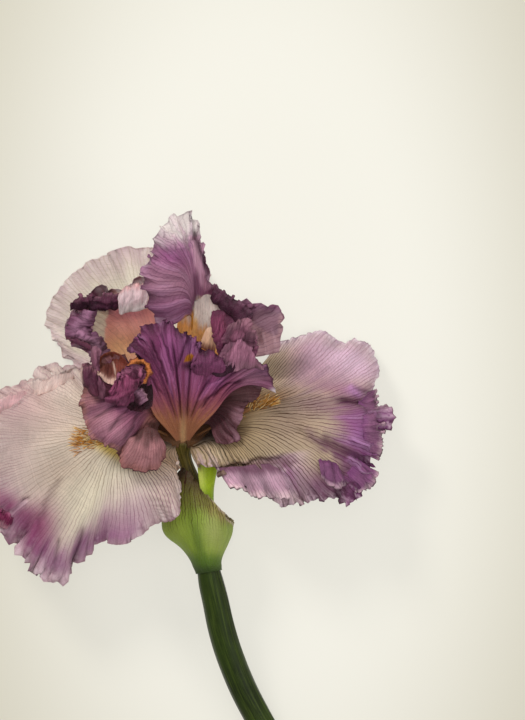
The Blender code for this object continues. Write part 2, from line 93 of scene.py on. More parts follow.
# ---------------------------------------------------------------- petals, vein by vein
# Each petal is a fan of veins. A row below is one vein from just above the ring to the margin.
FALL_LEFT = [
    [(160, 428, 30), (135, 412, 28), (112, 398, 22), (97, 385, 12), (88, 373, 5)],
    [(160, 430, 31.5), (130, 416, 31), (99, 398, 23), (79, 380, 9), (68, 369, 1.5)],
    [(160, 432, 33), (125, 421, 34), (84, 403, 27), (55, 383, 9), (38, 369, 0.2)],
    [(160, 434, 34.5), (120, 425, 36.5), (72, 411, 31), (35, 395, 12), (13, 385, 0.6)],
    [(160, 436, 35.5), (116, 429, 38.5), (65, 423, 35), (22, 414, 18), (-3, 408, 6)],
    [(160, 437.5, 36.2), (112, 433, 40), (60, 438, 38), (15, 442, 27), (-12, 446, 16)],
    [(160, 439, 36.8), (111, 438, 41), (60, 457, 40), (15, 477, 32), (-12, 490, 22)],
    [(160.5, 440, 37.2), (111, 442, 41.8), (66, 474, 42), (25, 508, 35), (0, 535, 27)],
    [(161, 441, 37.5), (113, 446, 42.2), (76, 488, 44), (42, 530, 37), (27, 560, 29)],
    [(161.5, 442, 37.7), (115, 449, 42.5), (89, 496, 46), (67, 546, 39), (56, 583, 30)],
    [(162, 443, 37.8), (119, 452, 42.8), (103, 496, 48), (94, 532, 42), (90, 553, 36)],
    [(163, 444, 37.8), (125, 454, 43), (121, 491, 50), (122, 521, 46), (122, 541, 41)],
    [(164.5, 445, 37.7), (133, 456, 43), (138, 485, 51), (146, 511, 49), (151, 530, 45)],
    [(166, 446, 37.5), (144, 457, 42.5), (157, 479, 50), (167, 500, 50), (173, 518, 47)],
    [(168, 447, 37), (155, 456, 41.5), (168, 469, 46), (175, 483, 47), (178.5, 497, 46)],
    [(171, 448, 36.6), (168, 455, 40), (172.5, 462, 42), (176.5, 468, 43), (179, 475, 43)],
    [(175.5, 448, 36.6), (176.5, 452, 38.6), (178, 456, 40.4), (179.5, 460, 41.6), (181, 464, 42.3)],
]
FALL_RIGHT = [
    [(205, 428, 29), (230, 398, 24), (255, 372, 16), (270, 355, 9), (279, 343, 5)],
    [(206, 429, 31), (235, 402, 29), (266, 375, 19), (287, 350, 8), (298, 333, 1.5)],
    [(206, 430, 33), (240, 405, 33), (280, 380, 24), (306, 352, 9), (320, 338, 0.2)],
    [(207, 431, 34.5), (245, 408, 36), (293, 385, 28), (326, 356, 12), (344, 337, 0.2)],
    [(207, 432, 35.5), (249, 410, 38), (303, 390, 31), (345, 362, 15), (367, 341, 2.5)],
    [(207, 433, 36), (252, 411, 39.5), (310, 396, 34), (354, 374, 21), (374, 358, 9)],
    [(207, 434, 36.5), (254, 413, 40.5), (313, 403, 36), (356, 390, 25), (375, 380, 14)],
    [(206, 435, 36.8), (255, 415, 41), (314, 411, 38), (358, 405, 28), (379, 401, 18)],
    [(206, 436, 37), (255, 417, 41.5), (313, 419, 39.5), (361, 422, 31), (386, 424, 22)],
    [(205, 437, 37.2), (254, 420, 42), (310, 428, 41), (356, 440, 34), (379, 448, 26)],
    [(205, 438, 37.3), (252, 423, 42.3), (306, 436, 42.5), (350, 456, 37), (374, 470, 29)],
    [(204, 439, 37.4), (249, 427, 42.6), (299, 444, 44), (338, 472, 40), (362, 492, 33)],
    [(203, 440, 37.4), (244, 431, 42.8), (288, 451, 45.5), (318, 481, 43), (336, 503, 37)],
    [(202, 441, 37.3), (238, 435, 42.8), (272, 457, 46), (294, 484, 45), (305, 507, 40)],
    [(200, 442, 37.1), (230, 438, 42.5), (254, 459, 45.5), (268, 480, 46), (276, 498, 42)],
    [(198, 443.5, 36.8), (220, 440, 41.5), (236, 456, 44), (245, 472, 45), (250, 487, 43)],
    [(196, 445, 36.3), (210, 442, 40), (219, 453, 42), (225, 464, 43), (229, 476, 42)],
    [(194, 447, 35.8), (197.5, 447, 38), (201, 452, 39.5), (205, 459, 40.5), (208, 466, 41)],
    [(190.5, 448, 35.6), (190.5, 451, 37.2), (192, 455.5, 38.4), (195, 461, 39.3), (199, 467, 40)],
]
FALL_BACK = [
    [(178, 432, 20), (150, 412, 9.5), (120, 398, 4), (100, 385, 2.5), (86, 370, 3)],
    [(176, 429, 19), (148, 404, 8.5), (113, 380, 1.6), (88, 366, 0.3), (68, 357, 1.2)],
    [(175, 427, 18.5), (147, 397, 7.5), (109, 365, 0.6), (78, 350, 0.2), (53, 338, 1.8)],
    [(175, 425, 18), (147, 391, 7), (109, 351, 0.3), (75, 331, 0.2), (46, 318, 2.5)],
    [(176, 423, 18), (149, 386, 6.5), (114, 338, 0.2), (83, 314, 0.2), (54, 295, 3.5)],
    [(177, 421, 18), (152, 381, 6.5), (122, 328, 0.2), (98, 298, 0.2), (74, 273, 4.5)],
    [(178, 420, 18), (156, 377, 6.5), (133, 321, 0.2), (117, 286, 0.2), (101, 257, 4.5)],
    [(180, 419, 18.5), (161, 374, 7), (146, 317, 0.8), (138, 280, 0.3), (131, 248, 3.6)],
    [(182, 419, 19), (167, 372, 8.5), (160, 315, 1.6), (161, 279, 0.8), (163, 249, 3.2)],
    [(184, 420, 19.5), (173, 372, 9), (173, 318, 3), (181, 284, 2), (190, 257, 3.3)],
    [(186, 422, 20), (179, 374, 10), (185, 325, 4), (198, 296, 3), (212, 275, 3.5)],
]
STANDARD_FRONT = [
    [(166, 429, 44.5), (154, 415, 51.5), (149, 399, 55), (148, 383, 56.5), (150, 370, 57)],
    [(169, 425, 44), (159, 404, 52), (152, 386, 56.5), (145, 370, 59), (138, 359, 59)],
    [(173, 421, 43), (163, 396, 52), (153, 374, 58), (141, 358, 61), (131, 350, 60)],
    [(175, 418, 43.5), (166, 390, 53), (155, 364, 59), (143, 346, 61), (133, 337, 59)],
    [(178, 416, 44), (170, 386, 53), (161, 358, 59), (152, 338, 61), (146, 326, 58)],
    [(181, 415, 44), (177, 385, 53), (172, 356, 59), (168, 337, 60), (166, 323, 56)],
    [(184, 415, 44), (184, 385, 53), (184, 358, 58), (185, 342, 58.5), (186, 329, 55)],
    [(188, 416, 44), (192, 389, 53), (195, 369, 57), (197, 356, 58), (198, 346, 56)],
    [(191, 418, 43.8), (202, 394, 52.5), (211, 375, 56), (217, 362, 58), (220, 352, 57)],
    [(194, 421, 43.3), (208, 400, 51), (223, 382, 55), (238, 369, 57.5), (248, 359, 57)],
    [(197.5, 424, 43), (214, 405, 49.7), (230, 385, 54), (249, 375, 56), (267, 371, 56)],
    [(199.5, 428, 42.3), (216, 411, 48.7), (230, 393, 52.5), (251, 386, 54.5), (275, 394, 54)],
]
STANDARD_LEFT = [
    [(160, 422, 29), (138, 396, 27), (115, 376, 24), (98, 362, 23), (86, 352, 26)],
    [(161, 418, 28.5), (138, 386, 26), (112, 360, 23), (90, 345, 24), (70, 336, 29)],
    [(163, 414, 28), (139, 376, 25), (113, 346, 22), (92, 330, 25), (68, 326, 30)],
    [(165, 411, 27.5), (142, 366, 24), (120, 333, 21), (98, 316, 24), (78, 305, 31)],
    [(167, 408, 27), (146, 358, 23), (128, 325, 20), (112, 308, 24), (97, 297, 31)],
    [(169, 406, 26.5), (151, 352, 22), (137, 318, 20), (126, 302, 24), (118, 290, 31)],
    [(171, 404, 26), (157, 348, 22), (147, 313, 21), (140, 297, 25), (138, 286, 32)],
    [(173, 402, 25.8), (164, 346, 22), (158, 310, 22), (155, 292, 27), (158, 280, 34)],
    [(175, 402, 25.5), (170, 348, 22), (168, 312, 22), (170, 292, 26), (176, 280, 32)],
]
STANDARD_RIGHT = [
    [(188, 398, 27), (190, 346, 33), (191, 316, 43), (177, 322, 49.5), (158, 327, 49)],
    [(188.5, 398, 27), (191, 344, 33), (190, 303, 46), (168, 305, 54), (146, 305, 51)],
    [(189, 398, 27), (192, 342, 33), (188, 293, 47), (163, 288, 57), (141, 285, 52)],
    [(190, 397, 27), (193, 341, 32), (188, 286, 47), (166, 273, 57), (146, 264, 52)],
    [(191, 397, 27), (194, 340, 32), (189, 281, 46), (171, 261, 56), (151, 247, 51)],
    [(192, 396, 27), (195, 339, 31.5), (191, 277, 45), (177, 250, 53), (158, 231, 49)],
    [(193, 396, 27), (196, 338, 31), (193, 274, 43), (184, 242, 49), (170, 218, 46)],
    [(194, 396, 27), (198, 338, 30.5), (196, 273, 41), (192, 240, 44), (188, 212, 43)],
    [(195, 396, 27), (200, 338, 30), (199, 275, 38), (199, 252, 40), (198, 236, 41)],
    [(196, 397, 27.3), (203, 339, 29), (203, 285, 35.5), (204, 272, 37.5), (204, 260, 39)],
    [(197, 398, 27.6), (206, 341, 28.5), (208, 300, 32), (212, 290, 34.5), (215, 284, 37)],
    [(198, 399, 28), (209, 344, 28.5), (217, 315, 30), (228, 309, 32), (238, 305, 36)],
    [(199, 401, 28.5), (213, 355, 29), (234, 334, 30), (258, 322, 31), (281, 311, 35)],
    [(200, 404, 29), (216, 370, 30), (239, 359, 31), (261, 356, 31), (279, 352, 34)],
]
STYLE_LEFT = [
    [(176, 428, 37.2), (160, 424, 45.8), (159, 437, 52.2), (163, 448, 54), (164, 457, 53)],
    [(174, 426, 37.7), (157, 421, 47.8), (153, 440, 56.2), (154, 455, 58), (152, 467, 55)],
    [(172, 424, 38.2), (154, 419, 48.3), (145, 436, 57.2), (137, 453, 57.5), (132, 467, 54)],
    [(170, 422, 38.2), (151, 416, 48.8), (141, 431, 53.2), (129, 445, 52), (119, 458, 50.5)],
    [(169, 420, 38.7), (149, 413, 50.8), (136, 428, 58.2), (125, 440, 60), (117, 450, 57)],
    [(169, 418, 39.2), (146, 410, 51.8), (128, 423, 60.2), (113, 436, 62), (103, 446, 58)],
    [(168, 416, 39.2), (143, 407, 52.3), (122, 415, 60.2), (104, 425, 61), (91, 436, 57)],
    [(168, 414, 39.2), (141, 404, 52.3), (118, 406, 59.2), (99, 413, 59), (84, 421, 55)],
    [(168, 412, 39.2), (140, 401, 51.8), (117, 398, 56.2), (97, 399, 56), (80, 402, 53)],
    [(168, 410, 39.2), (140, 398, 50.8), (119, 390, 53.2), (101, 386, 54), (84, 384, 54)],
    [(168, 408, 38.7), (141, 395, 49.8), (123, 383, 51.2), (107, 374, 54), (94, 368, 57)],
    [(169, 406, 38.2), (143, 392, 48.8), (129, 378, 50.2), (117, 367, 54), (108, 357, 58)],
    [(170, 404, 37.7), (146, 390, 47.8), (137, 376, 50.2), (130, 364, 54), (125, 354, 57)],
]
STYLE_RIGHT = [
    [(191, 431, 37), (207, 424, 39), (212, 432, 42), (214, 438, 43.5), (216, 443, 44)],
    [(192, 429, 37.5), (212, 418, 41), (222, 428, 45), (228, 437, 46), (233, 443, 45)],
    [(193, 427, 38), (215, 413, 42), (228, 420, 46), (234, 427, 47), (238, 433, 46)],
    [(194, 425, 38), (218, 408, 42), (232, 408, 46), (238, 411, 47), (243, 411, 46)],
    [(194, 423, 38), (219, 402, 41), (237, 396, 43.5), (248, 395, 44.5), (259, 396, 45)],
    [(194, 421, 37.3), (218, 393, 39.5), (235, 381, 41.5), (249, 377, 42.5), (262, 380, 43)],
]
STYLE_BACK = [
    [(177, 424, 24.2), (162, 398, 19.6), (150, 376, 16.3), (140, 362, 15), (133, 352, 16)],
    [(179, 422, 23.9), (168, 392, 19.1), (158, 366, 15.8), (151, 348, 14.5), (146, 336, 16)],
    [(181, 421, 23.8), (172, 390, 18.9), (166, 364, 15.8), (162, 350, 14.5), (160, 341, 15.5)],
    [(183, 422, 23.9), (177, 392, 19.1), (175, 366, 15.8), (175, 348, 14.5), (175, 336, 16)],
    [(185, 424, 24.2), (182, 397, 19.6), (183, 376, 16.3), (186, 362, 15), (190, 352, 16)],
]
SPATHE_OUTER = [
    [(208.5, 563, 16), (211, 548, 14), (211, 521, 14.5), (206, 501, 17)],
    [(216.5, 562, 18), (220, 548, 17), (226, 531, 17), (229, 518, 19)],
    [(221, 561, 22.8), (226, 547, 22), (231.5, 533, 22.5), (233, 523, 25)],
    [(218, 560, 28), (222, 545, 29), (226, 529, 31), (223, 512, 33.5)],
    [(210, 560, 31), (211, 542, 34), (210, 518, 37), (205, 492, 36.5)],
    [(201, 560, 31.3), (197, 541, 34.5), (193, 513, 37.5), (192, 475, 37)],
    [(194, 560, 28.5), (185, 543, 31.5), (175, 519, 34), (180, 470, 35)],
    [(190.5, 560, 23.5), (177, 544, 24.5), (162.5, 527, 26), (170, 485, 29)],
    [(194, 561, 19), (181, 543, 18), (170, 523, 18), (177, 490, 21)],
    [(201, 562, 16.3), (194, 545, 14), (188, 521, 14.5), (188, 499, 17)],
]
SPATHE_BASE = [(209 + 14.1 * math.sin(math.radians(t)), 572 - 2 * math.sin(math.radians(t)), 23.3 + 5.5 * math.cos(math.radians(t)))
               for t in np.linspace(170, -170, 10)]
SPATHE_INNER = [
    [(213.5, 536, 22), (212, 515, 23), (211, 490, 25), (213, 472, 27), (213, 462, 28.5)],
    [(215.5, 536, 25.5), (214, 515, 27), (213.5, 490, 29), (216.5, 472, 30.5), (217, 462, 31.5)],
    [(213.5, 536, 29.8), (210.5, 515, 31.8), (208.5, 490, 33), (210, 472, 33.4), (210, 461, 33.8)],
    [(208, 536, 31.6), (203.5, 515, 33.6), (200, 490, 34.4), (198, 472, 34.2), (197.5, 462, 34.2)],
]
SPATHE_INNER_BASE = [(215, 552, 21.5), (217, 552, 24.5), (215, 552, 28.3), (210.5, 552, 29.8)]
PETALS = {
    "fall_left": (FALL_LEFT, ring(-60, 27, len(FALL_LEFT))),
    "fall_right": (FALL_RIGHT, ring(60, -27, len(FALL_RIGHT))),
    "fall_back": (FALL_BACK, ring(180, 27, len(FALL_BACK))),
    "standard_front": (STANDARD_FRONT, ring(0, 27, len(STANDARD_FRONT))),
    "standard_left": (STANDARD_LEFT, ring(-120, 27, len(STANDARD_LEFT))),
    "standard_right": (STANDARD_RIGHT, ring(120, -27, len(STANDARD_RIGHT))),
    "style_arm_left": (STYLE_LEFT, ring(-60, 22, len(STYLE_LEFT), radius=1.6)),
    "style_arm_right": (STYLE_RIGHT, ring(60, -22, len(STYLE_RIGHT), radius=1.6)),
    "style_arm_back": (STYLE_BACK, ring(180, 22, len(STYLE_BACK), radius=1.6)),
    "spathe_outer": (SPATHE_OUTER, SPATHE_BASE),
    "spathe_inner": (SPATHE_INNER, SPATHE_INNER_BASE),
}


def net(name):
    """A petal's control net in drawing units, (veins, points, 3), from its base to its margin."""
    veins, base = PETALS[name]
    return np.array([[b, *v] for b, v in zip(base, veins)], float)


def sheet(name, us, vs):
    """Points of a petal's middle surface in mm, at each us across the petal and vs along its veins."""
    c = net(name)
    return np.einsum("ui,ijk,vj->uvk", spline_rows(c.shape[0], us), to_mm(c), spline_rows(c.shape[1], vs))



# waves of the margin: height in mm at the margin, where they begin along a vein, (waves across the petal, phase, share)
WAVES = {
    "fall_left": (2.4, 0.55, ((6.5, 0.4, 1.0), (10.3, 1.9, 0.6))),
    "fall_right": (2.2, 0.55, ((6.0, 2.2, 1.0), (9.2, 0.5, 0.6))),
    "fall_back": (2.0, 0.62, ((5.0, 1.0, 1.0), (8.4, 2.6, 0.5))),
    "standard_front": (1.6, 0.55, ((4.6, 0.9, 1.0), (7.3, 2.8, 0.7))),
    "standard_left": (1.6, 0.55, ((4.2, 2.0, 1.0), (6.6, 0.2, 0.6))),
    "standard_right": (1.6, 0.60, ((5.3, 0.2, 1.0), (8.1, 1.4, 0.6))),
    "style_arm_left": (0.7, 0.60, ((6.1, 0.2, 1.0), (8.3, 1.4, 0.6))),
    "style_arm_right": (0.5, 0.60, ((3.1, 0.2, 1.0), (4.6, 1.4, 0.6))),
    "style_arm_back": (0.6, 0.60, ((2.6, 0.2, 1.0), (3.9, 1.4, 0.6))),
    "spathe_outer": (0.5, 0.70, ((4.1, 0.2, 1.0), (6.6, 1.4, 0.6))),
    "spathe_inner": (0.3, 0.70, ((1.7, 0.2, 1.0), (2.6, 1.4, 0.6))),
}


def normals(p):
    du, dv = np.gradient(p, axis=0), np.gradient(p, axis=1)
    n = np.cross(du, dv)
    return n / np.maximum(np.linalg.norm(n, axis=-1, keepdims=True), 1e-9)


def surface(name, us, vs):
    """The middle surface in mm with its waved margin."""
    p = sheet(name, us, vs)
    height, start, terms = WAVES[name]
    us, vs = np.asarray(us, float)[:, None], np.asarray(vs, float)[None, :]
    rise = np.clip((vs - start) / (1 - start), 0, 1) ** 1.6
    wave = sum(share * np.sin(2 * math.pi * count * us + phase + 1.2 * vs) for count, phase, share in terms)
    return p + normals(p) * (height * rise * wave)[..., None]


def shell(p, thickness, floor=0.0):
    """Both faces of a sheet: upper and lower grids, kept above the table."""
    p = p.copy()
    p[..., 2] = np.maximum(p[..., 2], floor + thickness / 2)
    n = normals(p) * thickness / 2
    faces = []
    for side in (p + n, p - n):
        side[..., 2] = np.maximum(side[..., 2], floor)
        faces.append(side)
    return faces


# ---------------------------------------------------------------- round pieces: (a, b, h, radius in mm)
STEM = [(206.8, 561, 24.1, 4.3), (209, 572, 23.3, 4.55), (211.7, 585, 22.3, 5.0), (216, 603, 20.6, 5.2), (220, 622, 18.8, 5.35),
        (226.2, 645, 16.5, 5.4), (234, 667, 14.1, 5.4), (243.8, 690, 11.6, 5.4), (256.8, 715, 8.9, 5.4), (270.4, 738, 6.9, 5.35),
        (284, 758, 5.6, 5.3), (292, 770, 5.17, 5.3)]
OVARY = [(206.4, 559.6, 24.2, 3.0), (202.5, 542, 25.3, 3.5), (197.5, 515, 26.8, 4.3), (193, 490, 28.2, 4.1), (188, 470, 29.4, 2.9),
         (184.5, 458, 29.9, 2.7), (183, 451, 30, 3.6), (183, 445.5, 30, 5.0)]
FILAMENTS = {
    "stamen_left": [(175.4, 441, 31.9, 0.45), (168, 435.5, 35.9, 0.45), (155, 430, 41, 0.45), (143, 427, 43.8, 0.5), (138, 427, 45.2, 1.1),
                    (128, 427, 46.3, 1.3), (117, 428.5, 47, 1.0)],
    "stamen_right": [(190.2, 441, 31.9, 0.45), (199, 434.5, 36.2, 0.45), (214, 426, 39.6, 0.45), (226, 419, 42.2, 0.5), (231, 416.5, 42.6, 1.0),
                     (240, 412.5, 43.3, 1.1), (249, 409, 43.8, 0.9)],
    "stamen_back": [(183, 440, 26.6, 0.45), (181.5, 424, 22.2, 0.45), (175, 404, 17, 0.45), (170, 391, 13.8, 0.5), (168, 386, 13.2, 1.0),
                    (164, 374, 11.9, 1.2), (160, 362, 11, 0.9)],
}


def route(points, n):
    """n points (x, y, h, radius) in mm along the smooth line through the given points, evenly spaced along it."""
    p = np.asarray(points, float)
    q = np.concatenate([to_mm(p[:, :3]), p[:, 3:]], 1)
    fine = spline_rows(len(q), np.linspace(0, 1, 400)) @ q
    run = np.concatenate([[0], np.cumsum(np.linalg.norm(np.diff(fine[:, :3], axis=0), axis=1))])
    return np.stack([np.interp(np.linspace(0, run[-1], n), run, fine[:, k]) for k in range(4)], 1)


def place(points_mm):
    p = np.asarray(points_mm, float).copy()
    p[..., 0] += SHIFT_X
    p[..., 1] += SHIFT_Y
    return p / 1000.0


def drawing(p):
    """Drawing coordinates (a, b) of points in mm, as seen from the front view's eye point."""
    s = UNIT * (VIEW_H - p[..., 2]) / (VIEW_H - REF_H)
    return MID_A + p[..., 0] / s, MID_B - p[..., 1] / s


# ---------------------------------------------------------------- smooth seeded noise
def _table(seed, n):
    return np.random.RandomState(seed).uniform(-1, 1, n)


def noise1(x, seed):
    t = _table(seed, 1024)
    i = np.floor(x).astype(int)
    f = x - i
    f = f * f * (3 - 2 * f)
    return t[i % 1024] * (1 - f) + t[(i + 1) % 1024] * f


def noise2(x, y, seed):
    t = _table(seed, 256 * 256).reshape(256, 256)
    i, j = np.floor(x).astype(int), np.floor(y).astype(int)
    f, g = x - i, y - j
    f, g = f * f * (3 - 2 * f), g * g * (3 - 2 * g)
    at = lambda m, n: t[(i + m) % 256, (j + n) % 256]
    return (at(0, 0) * (1 - f) + at(1, 0) * f) * (1 - g) + (at(0, 1) * (1 - f) + at(1, 1) * f) * g


def facets(x, y, seed):
    """Noise with flat facets and sharp creases, its grid hidden by a warp."""
    wx, wy = x + 0.9 * noise2(x * 0.8, y * 0.8, seed + 21), y + 0.9 * noise2(x * 0.8 + 17, y * 0.8, seed + 22)
    t = _table(seed, 256 * 256).reshape(256, 256)
    i, j = np.floor(wx).astype(int), np.floor(wy).astype(int)
    f, g = wx - i, wy - j
    at = lambda m, n: t[(i + m) % 256, (j + n) % 256]
    upper = at(0, 0) + (at(1, 0) - at(0, 0)) * f + (at(1, 1) - at(1, 0)) * g      # two flat triangles a cell
    lower = at(0, 0) + (at(0, 1) - at(0, 0)) * g + (at(1, 1) - at(0, 1)) * f
    return np.where(f > g, upper, lower)


def fbm2(x, y, seed, octaves=4, gain=0.5):
    total, amp, norm = 0.0, 1.0, 0.0
    for k in range(octaves):
        total = total + amp * noise2(x * 2.03**k + 7.3 * k, y * 2.03**k + 3.1 * k, seed + k)
        norm += amp
        amp *= gain
    return total / norm


def smooth(x, low, high):
    t = np.clip((x - low) / (high - low), 0, 1)
    return t * t * (3 - 2 * t)


def blob(a, b, at, size, turn=0.0):
    """1 at the place, fading to 0 about one size away; size is (along, across) and turn the long way's angle in degrees."""
    t = math.radians(turn)
    x, y = a - at[0], b - at[1]
    p, q = x * math.cos(t) + y * math.sin(t), -x * math.sin(t) + y * math.cos(t)
    return np.exp(-((p / size[0]) ** 2 + (q / size[1]) ** 2))


def within(a, b, corners, soft=1.0, wander=0.0, seed=0):
    """1 inside the shape with these drawing corners, 0 outside, soft units wide at its outline."""
    if wander:
        a, b = a + wander * noise2(a / 5, b / 5, seed), b + wander * noise2(a / 5 + 31, b / 5, seed)
    best, odd = np.full(a.shape, 1e9), np.zeros(a.shape, bool)
    for (x0, y0), (x1, y1) in zip(corners, corners[1:] + corners[:1]):
        ex, ey = x1 - x0, y1 - y0
        q = np.clip(((a - x0) * ex + (b - y0) * ey) / (ex * ex + ey * ey), 0, 1)
        best = np.minimum(best, np.hypot(a - x0 - q * ex, b - y0 - q * ey))
        if ey:
            odd ^= ((y0 > b) != (y1 > b)) & (a < x0 + (b - y0) * ex / ey)
    return smooth(np.where(odd, best, -best), -soft, soft)


def mix(base, colour, weight):
    return base + (np.asarray(colour, float) - base) * np.clip(weight, 0, 1)[..., None]


def srgb(r, g, b):
    """Linear colour from 0..255 display values."""
    c = np.array([r, g, b], float) / 255
    return np.where(c <= 0.04045, c / 12.92, ((c + 0.055) / 1.055) ** 2.4)


# ---------------------------------------------------------------- meshes
def closed_shell(name, front, back, material, attributes, uv):
    """A closed thin solid from two equal grids of points in mm; attributes are per grid point."""
    n, m = front.shape[:2]
    pts = place(np.concatenate([front.reshape(-1, 3), back.reshape(-1, 3)]))
    idx = np.arange(n * m).reshape(n, m)
    q = np.stack([idx[:-1, :-1], idx[1:, :-1], idx[1:, 1:], idx[:-1, 1:]], -1).reshape(-1, 4)
    r = q[:, ::-1] + n * m
    rim = np.concatenate([idx[:, 0], idx[-1, 1:], idx[-2::-1, -1], idx[0, -2:0:-1]])
    nxt = np.roll(rim, -1)
    side = np.stack([nxt, rim, rim + n * m, nxt + n * m], -1)
    quads = np.concatenate([q, r, side])
    mesh = bpy.data.meshes.new(name)
    mesh.vertices.add(len(pts))
    mesh.vertices.foreach_set("co", pts.astype(np.float32).ravel())
    mesh.loops.add(quads.size)
    mesh.loops.foreach_set("vertex_index", quads.ravel().astype(np.int32))
    mesh.polygons.add(len(quads))
    mesh.polygons.foreach_set("loop_start", np.arange(0, quads.size, 4, dtype=np.int32))
    mesh.update(calc_edges=True)
    mesh.validate()
    mesh.shade_smooth()
    layer = mesh.uv_layers.new(name="Grain")
    both = np.concatenate([uv.reshape(-1, 2)] * 2)
    layer.data.foreach_set("uv", both[quads.ravel()].astype(np.float32).ravel())
    for key, value in attributes.items():
        value = np.asarray(value, float)
        if value.ndim == 3:
            data = np.ones((n * m * 2, 4), np.float32)
            data[:, :3] = np.concatenate([value.reshape(-1, 3)] * 2)
            mesh.color_attributes.new(key, "FLOAT_COLOR", "POINT").data.foreach_set("color", data.ravel())
        else:
            data = np.concatenate([value.ravel()] * 2).astype(np.float32)
            mesh.attributes.new(key, "FLOAT", "POINT").data.foreach_set("value", data)
    obj = bpy.data.objects.new(name, mesh)
    bpy.context.scene.collection.objects.link(obj)
    mesh.materials.append(material)
    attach(obj, "root")
    return obj


# ---------------------------------------------------------------- materials
class Tree:
    """Short calls for a material's nodes."""

    def __init__(self, name):
        self.material = bpy.data.materials.new(name)
        self.material.use_nodes = True
        self.nodes, self.links = self.material.node_tree.nodes, self.material.node_tree.links
        self.nodes.clear()

    def add(self, kind, **settings):
        node = self.nodes.new(kind)
        for key, value in settings.items():
            setattr(node, key, value)
        return node

    def put(self, socket, value):
        if isinstance(value, bpy.types.NodeSocket):
            self.links.new(value, socket)
        else:
            socket.default_value = value

    def math(self, operation, *values, clamp=False):
        node = self.add("ShaderNodeMath", operation=operation, use_clamp=clamp)
        for socket, value in zip(node.inputs, values):
            self.put(socket, value)
        return node.outputs[0]

    def step(self, value, low, high, to_low=0.0, to_high=1.0):
        node = self.add("ShaderNodeMapRange", interpolation_type="SMOOTHSTEP")
        for key, v in (("Value", value), ("From Min", low), ("From Max", high), ("To Min", to_low), ("To Max", to_high)):
            self.put(node.inputs[key], v)
        return node.outputs["Result"]

    def mix(self, weight, a, b, blend="MIX"):
        node = self.add("ShaderNodeMix", data_type="RGBA", blend_type=blend, clamp_factor=True)
        self.put(node.inputs["Factor"], weight)
        self.put(node.inputs[6], a)
        self.put(node.inputs[7], b)
        return node.outputs[2]

    def attribute(self, name, output="Fac"):
        return self.add("ShaderNodeAttribute", attribute_name=name).outputs[output]

    def noise(self, vector, scale, detail=3.0, roughness=0.55, output="Fac"):
        node = self.add("ShaderNodeTexNoise")
        self.put(node.inputs["Vector"], vector)
        node.inputs["Scale"].default_value = scale
        node.inputs["Detail"].default_value = detail
        node.inputs["Roughness"].default_value = roughness
        return node.outputs[output]

    def vector(self, x, y, z=0.0):
        node = self.add("ShaderNodeCombineXYZ")
        for socket, value in zip(node.inputs, (x, y, z)):
            self.put(socket, value)
        return node.outputs[0]


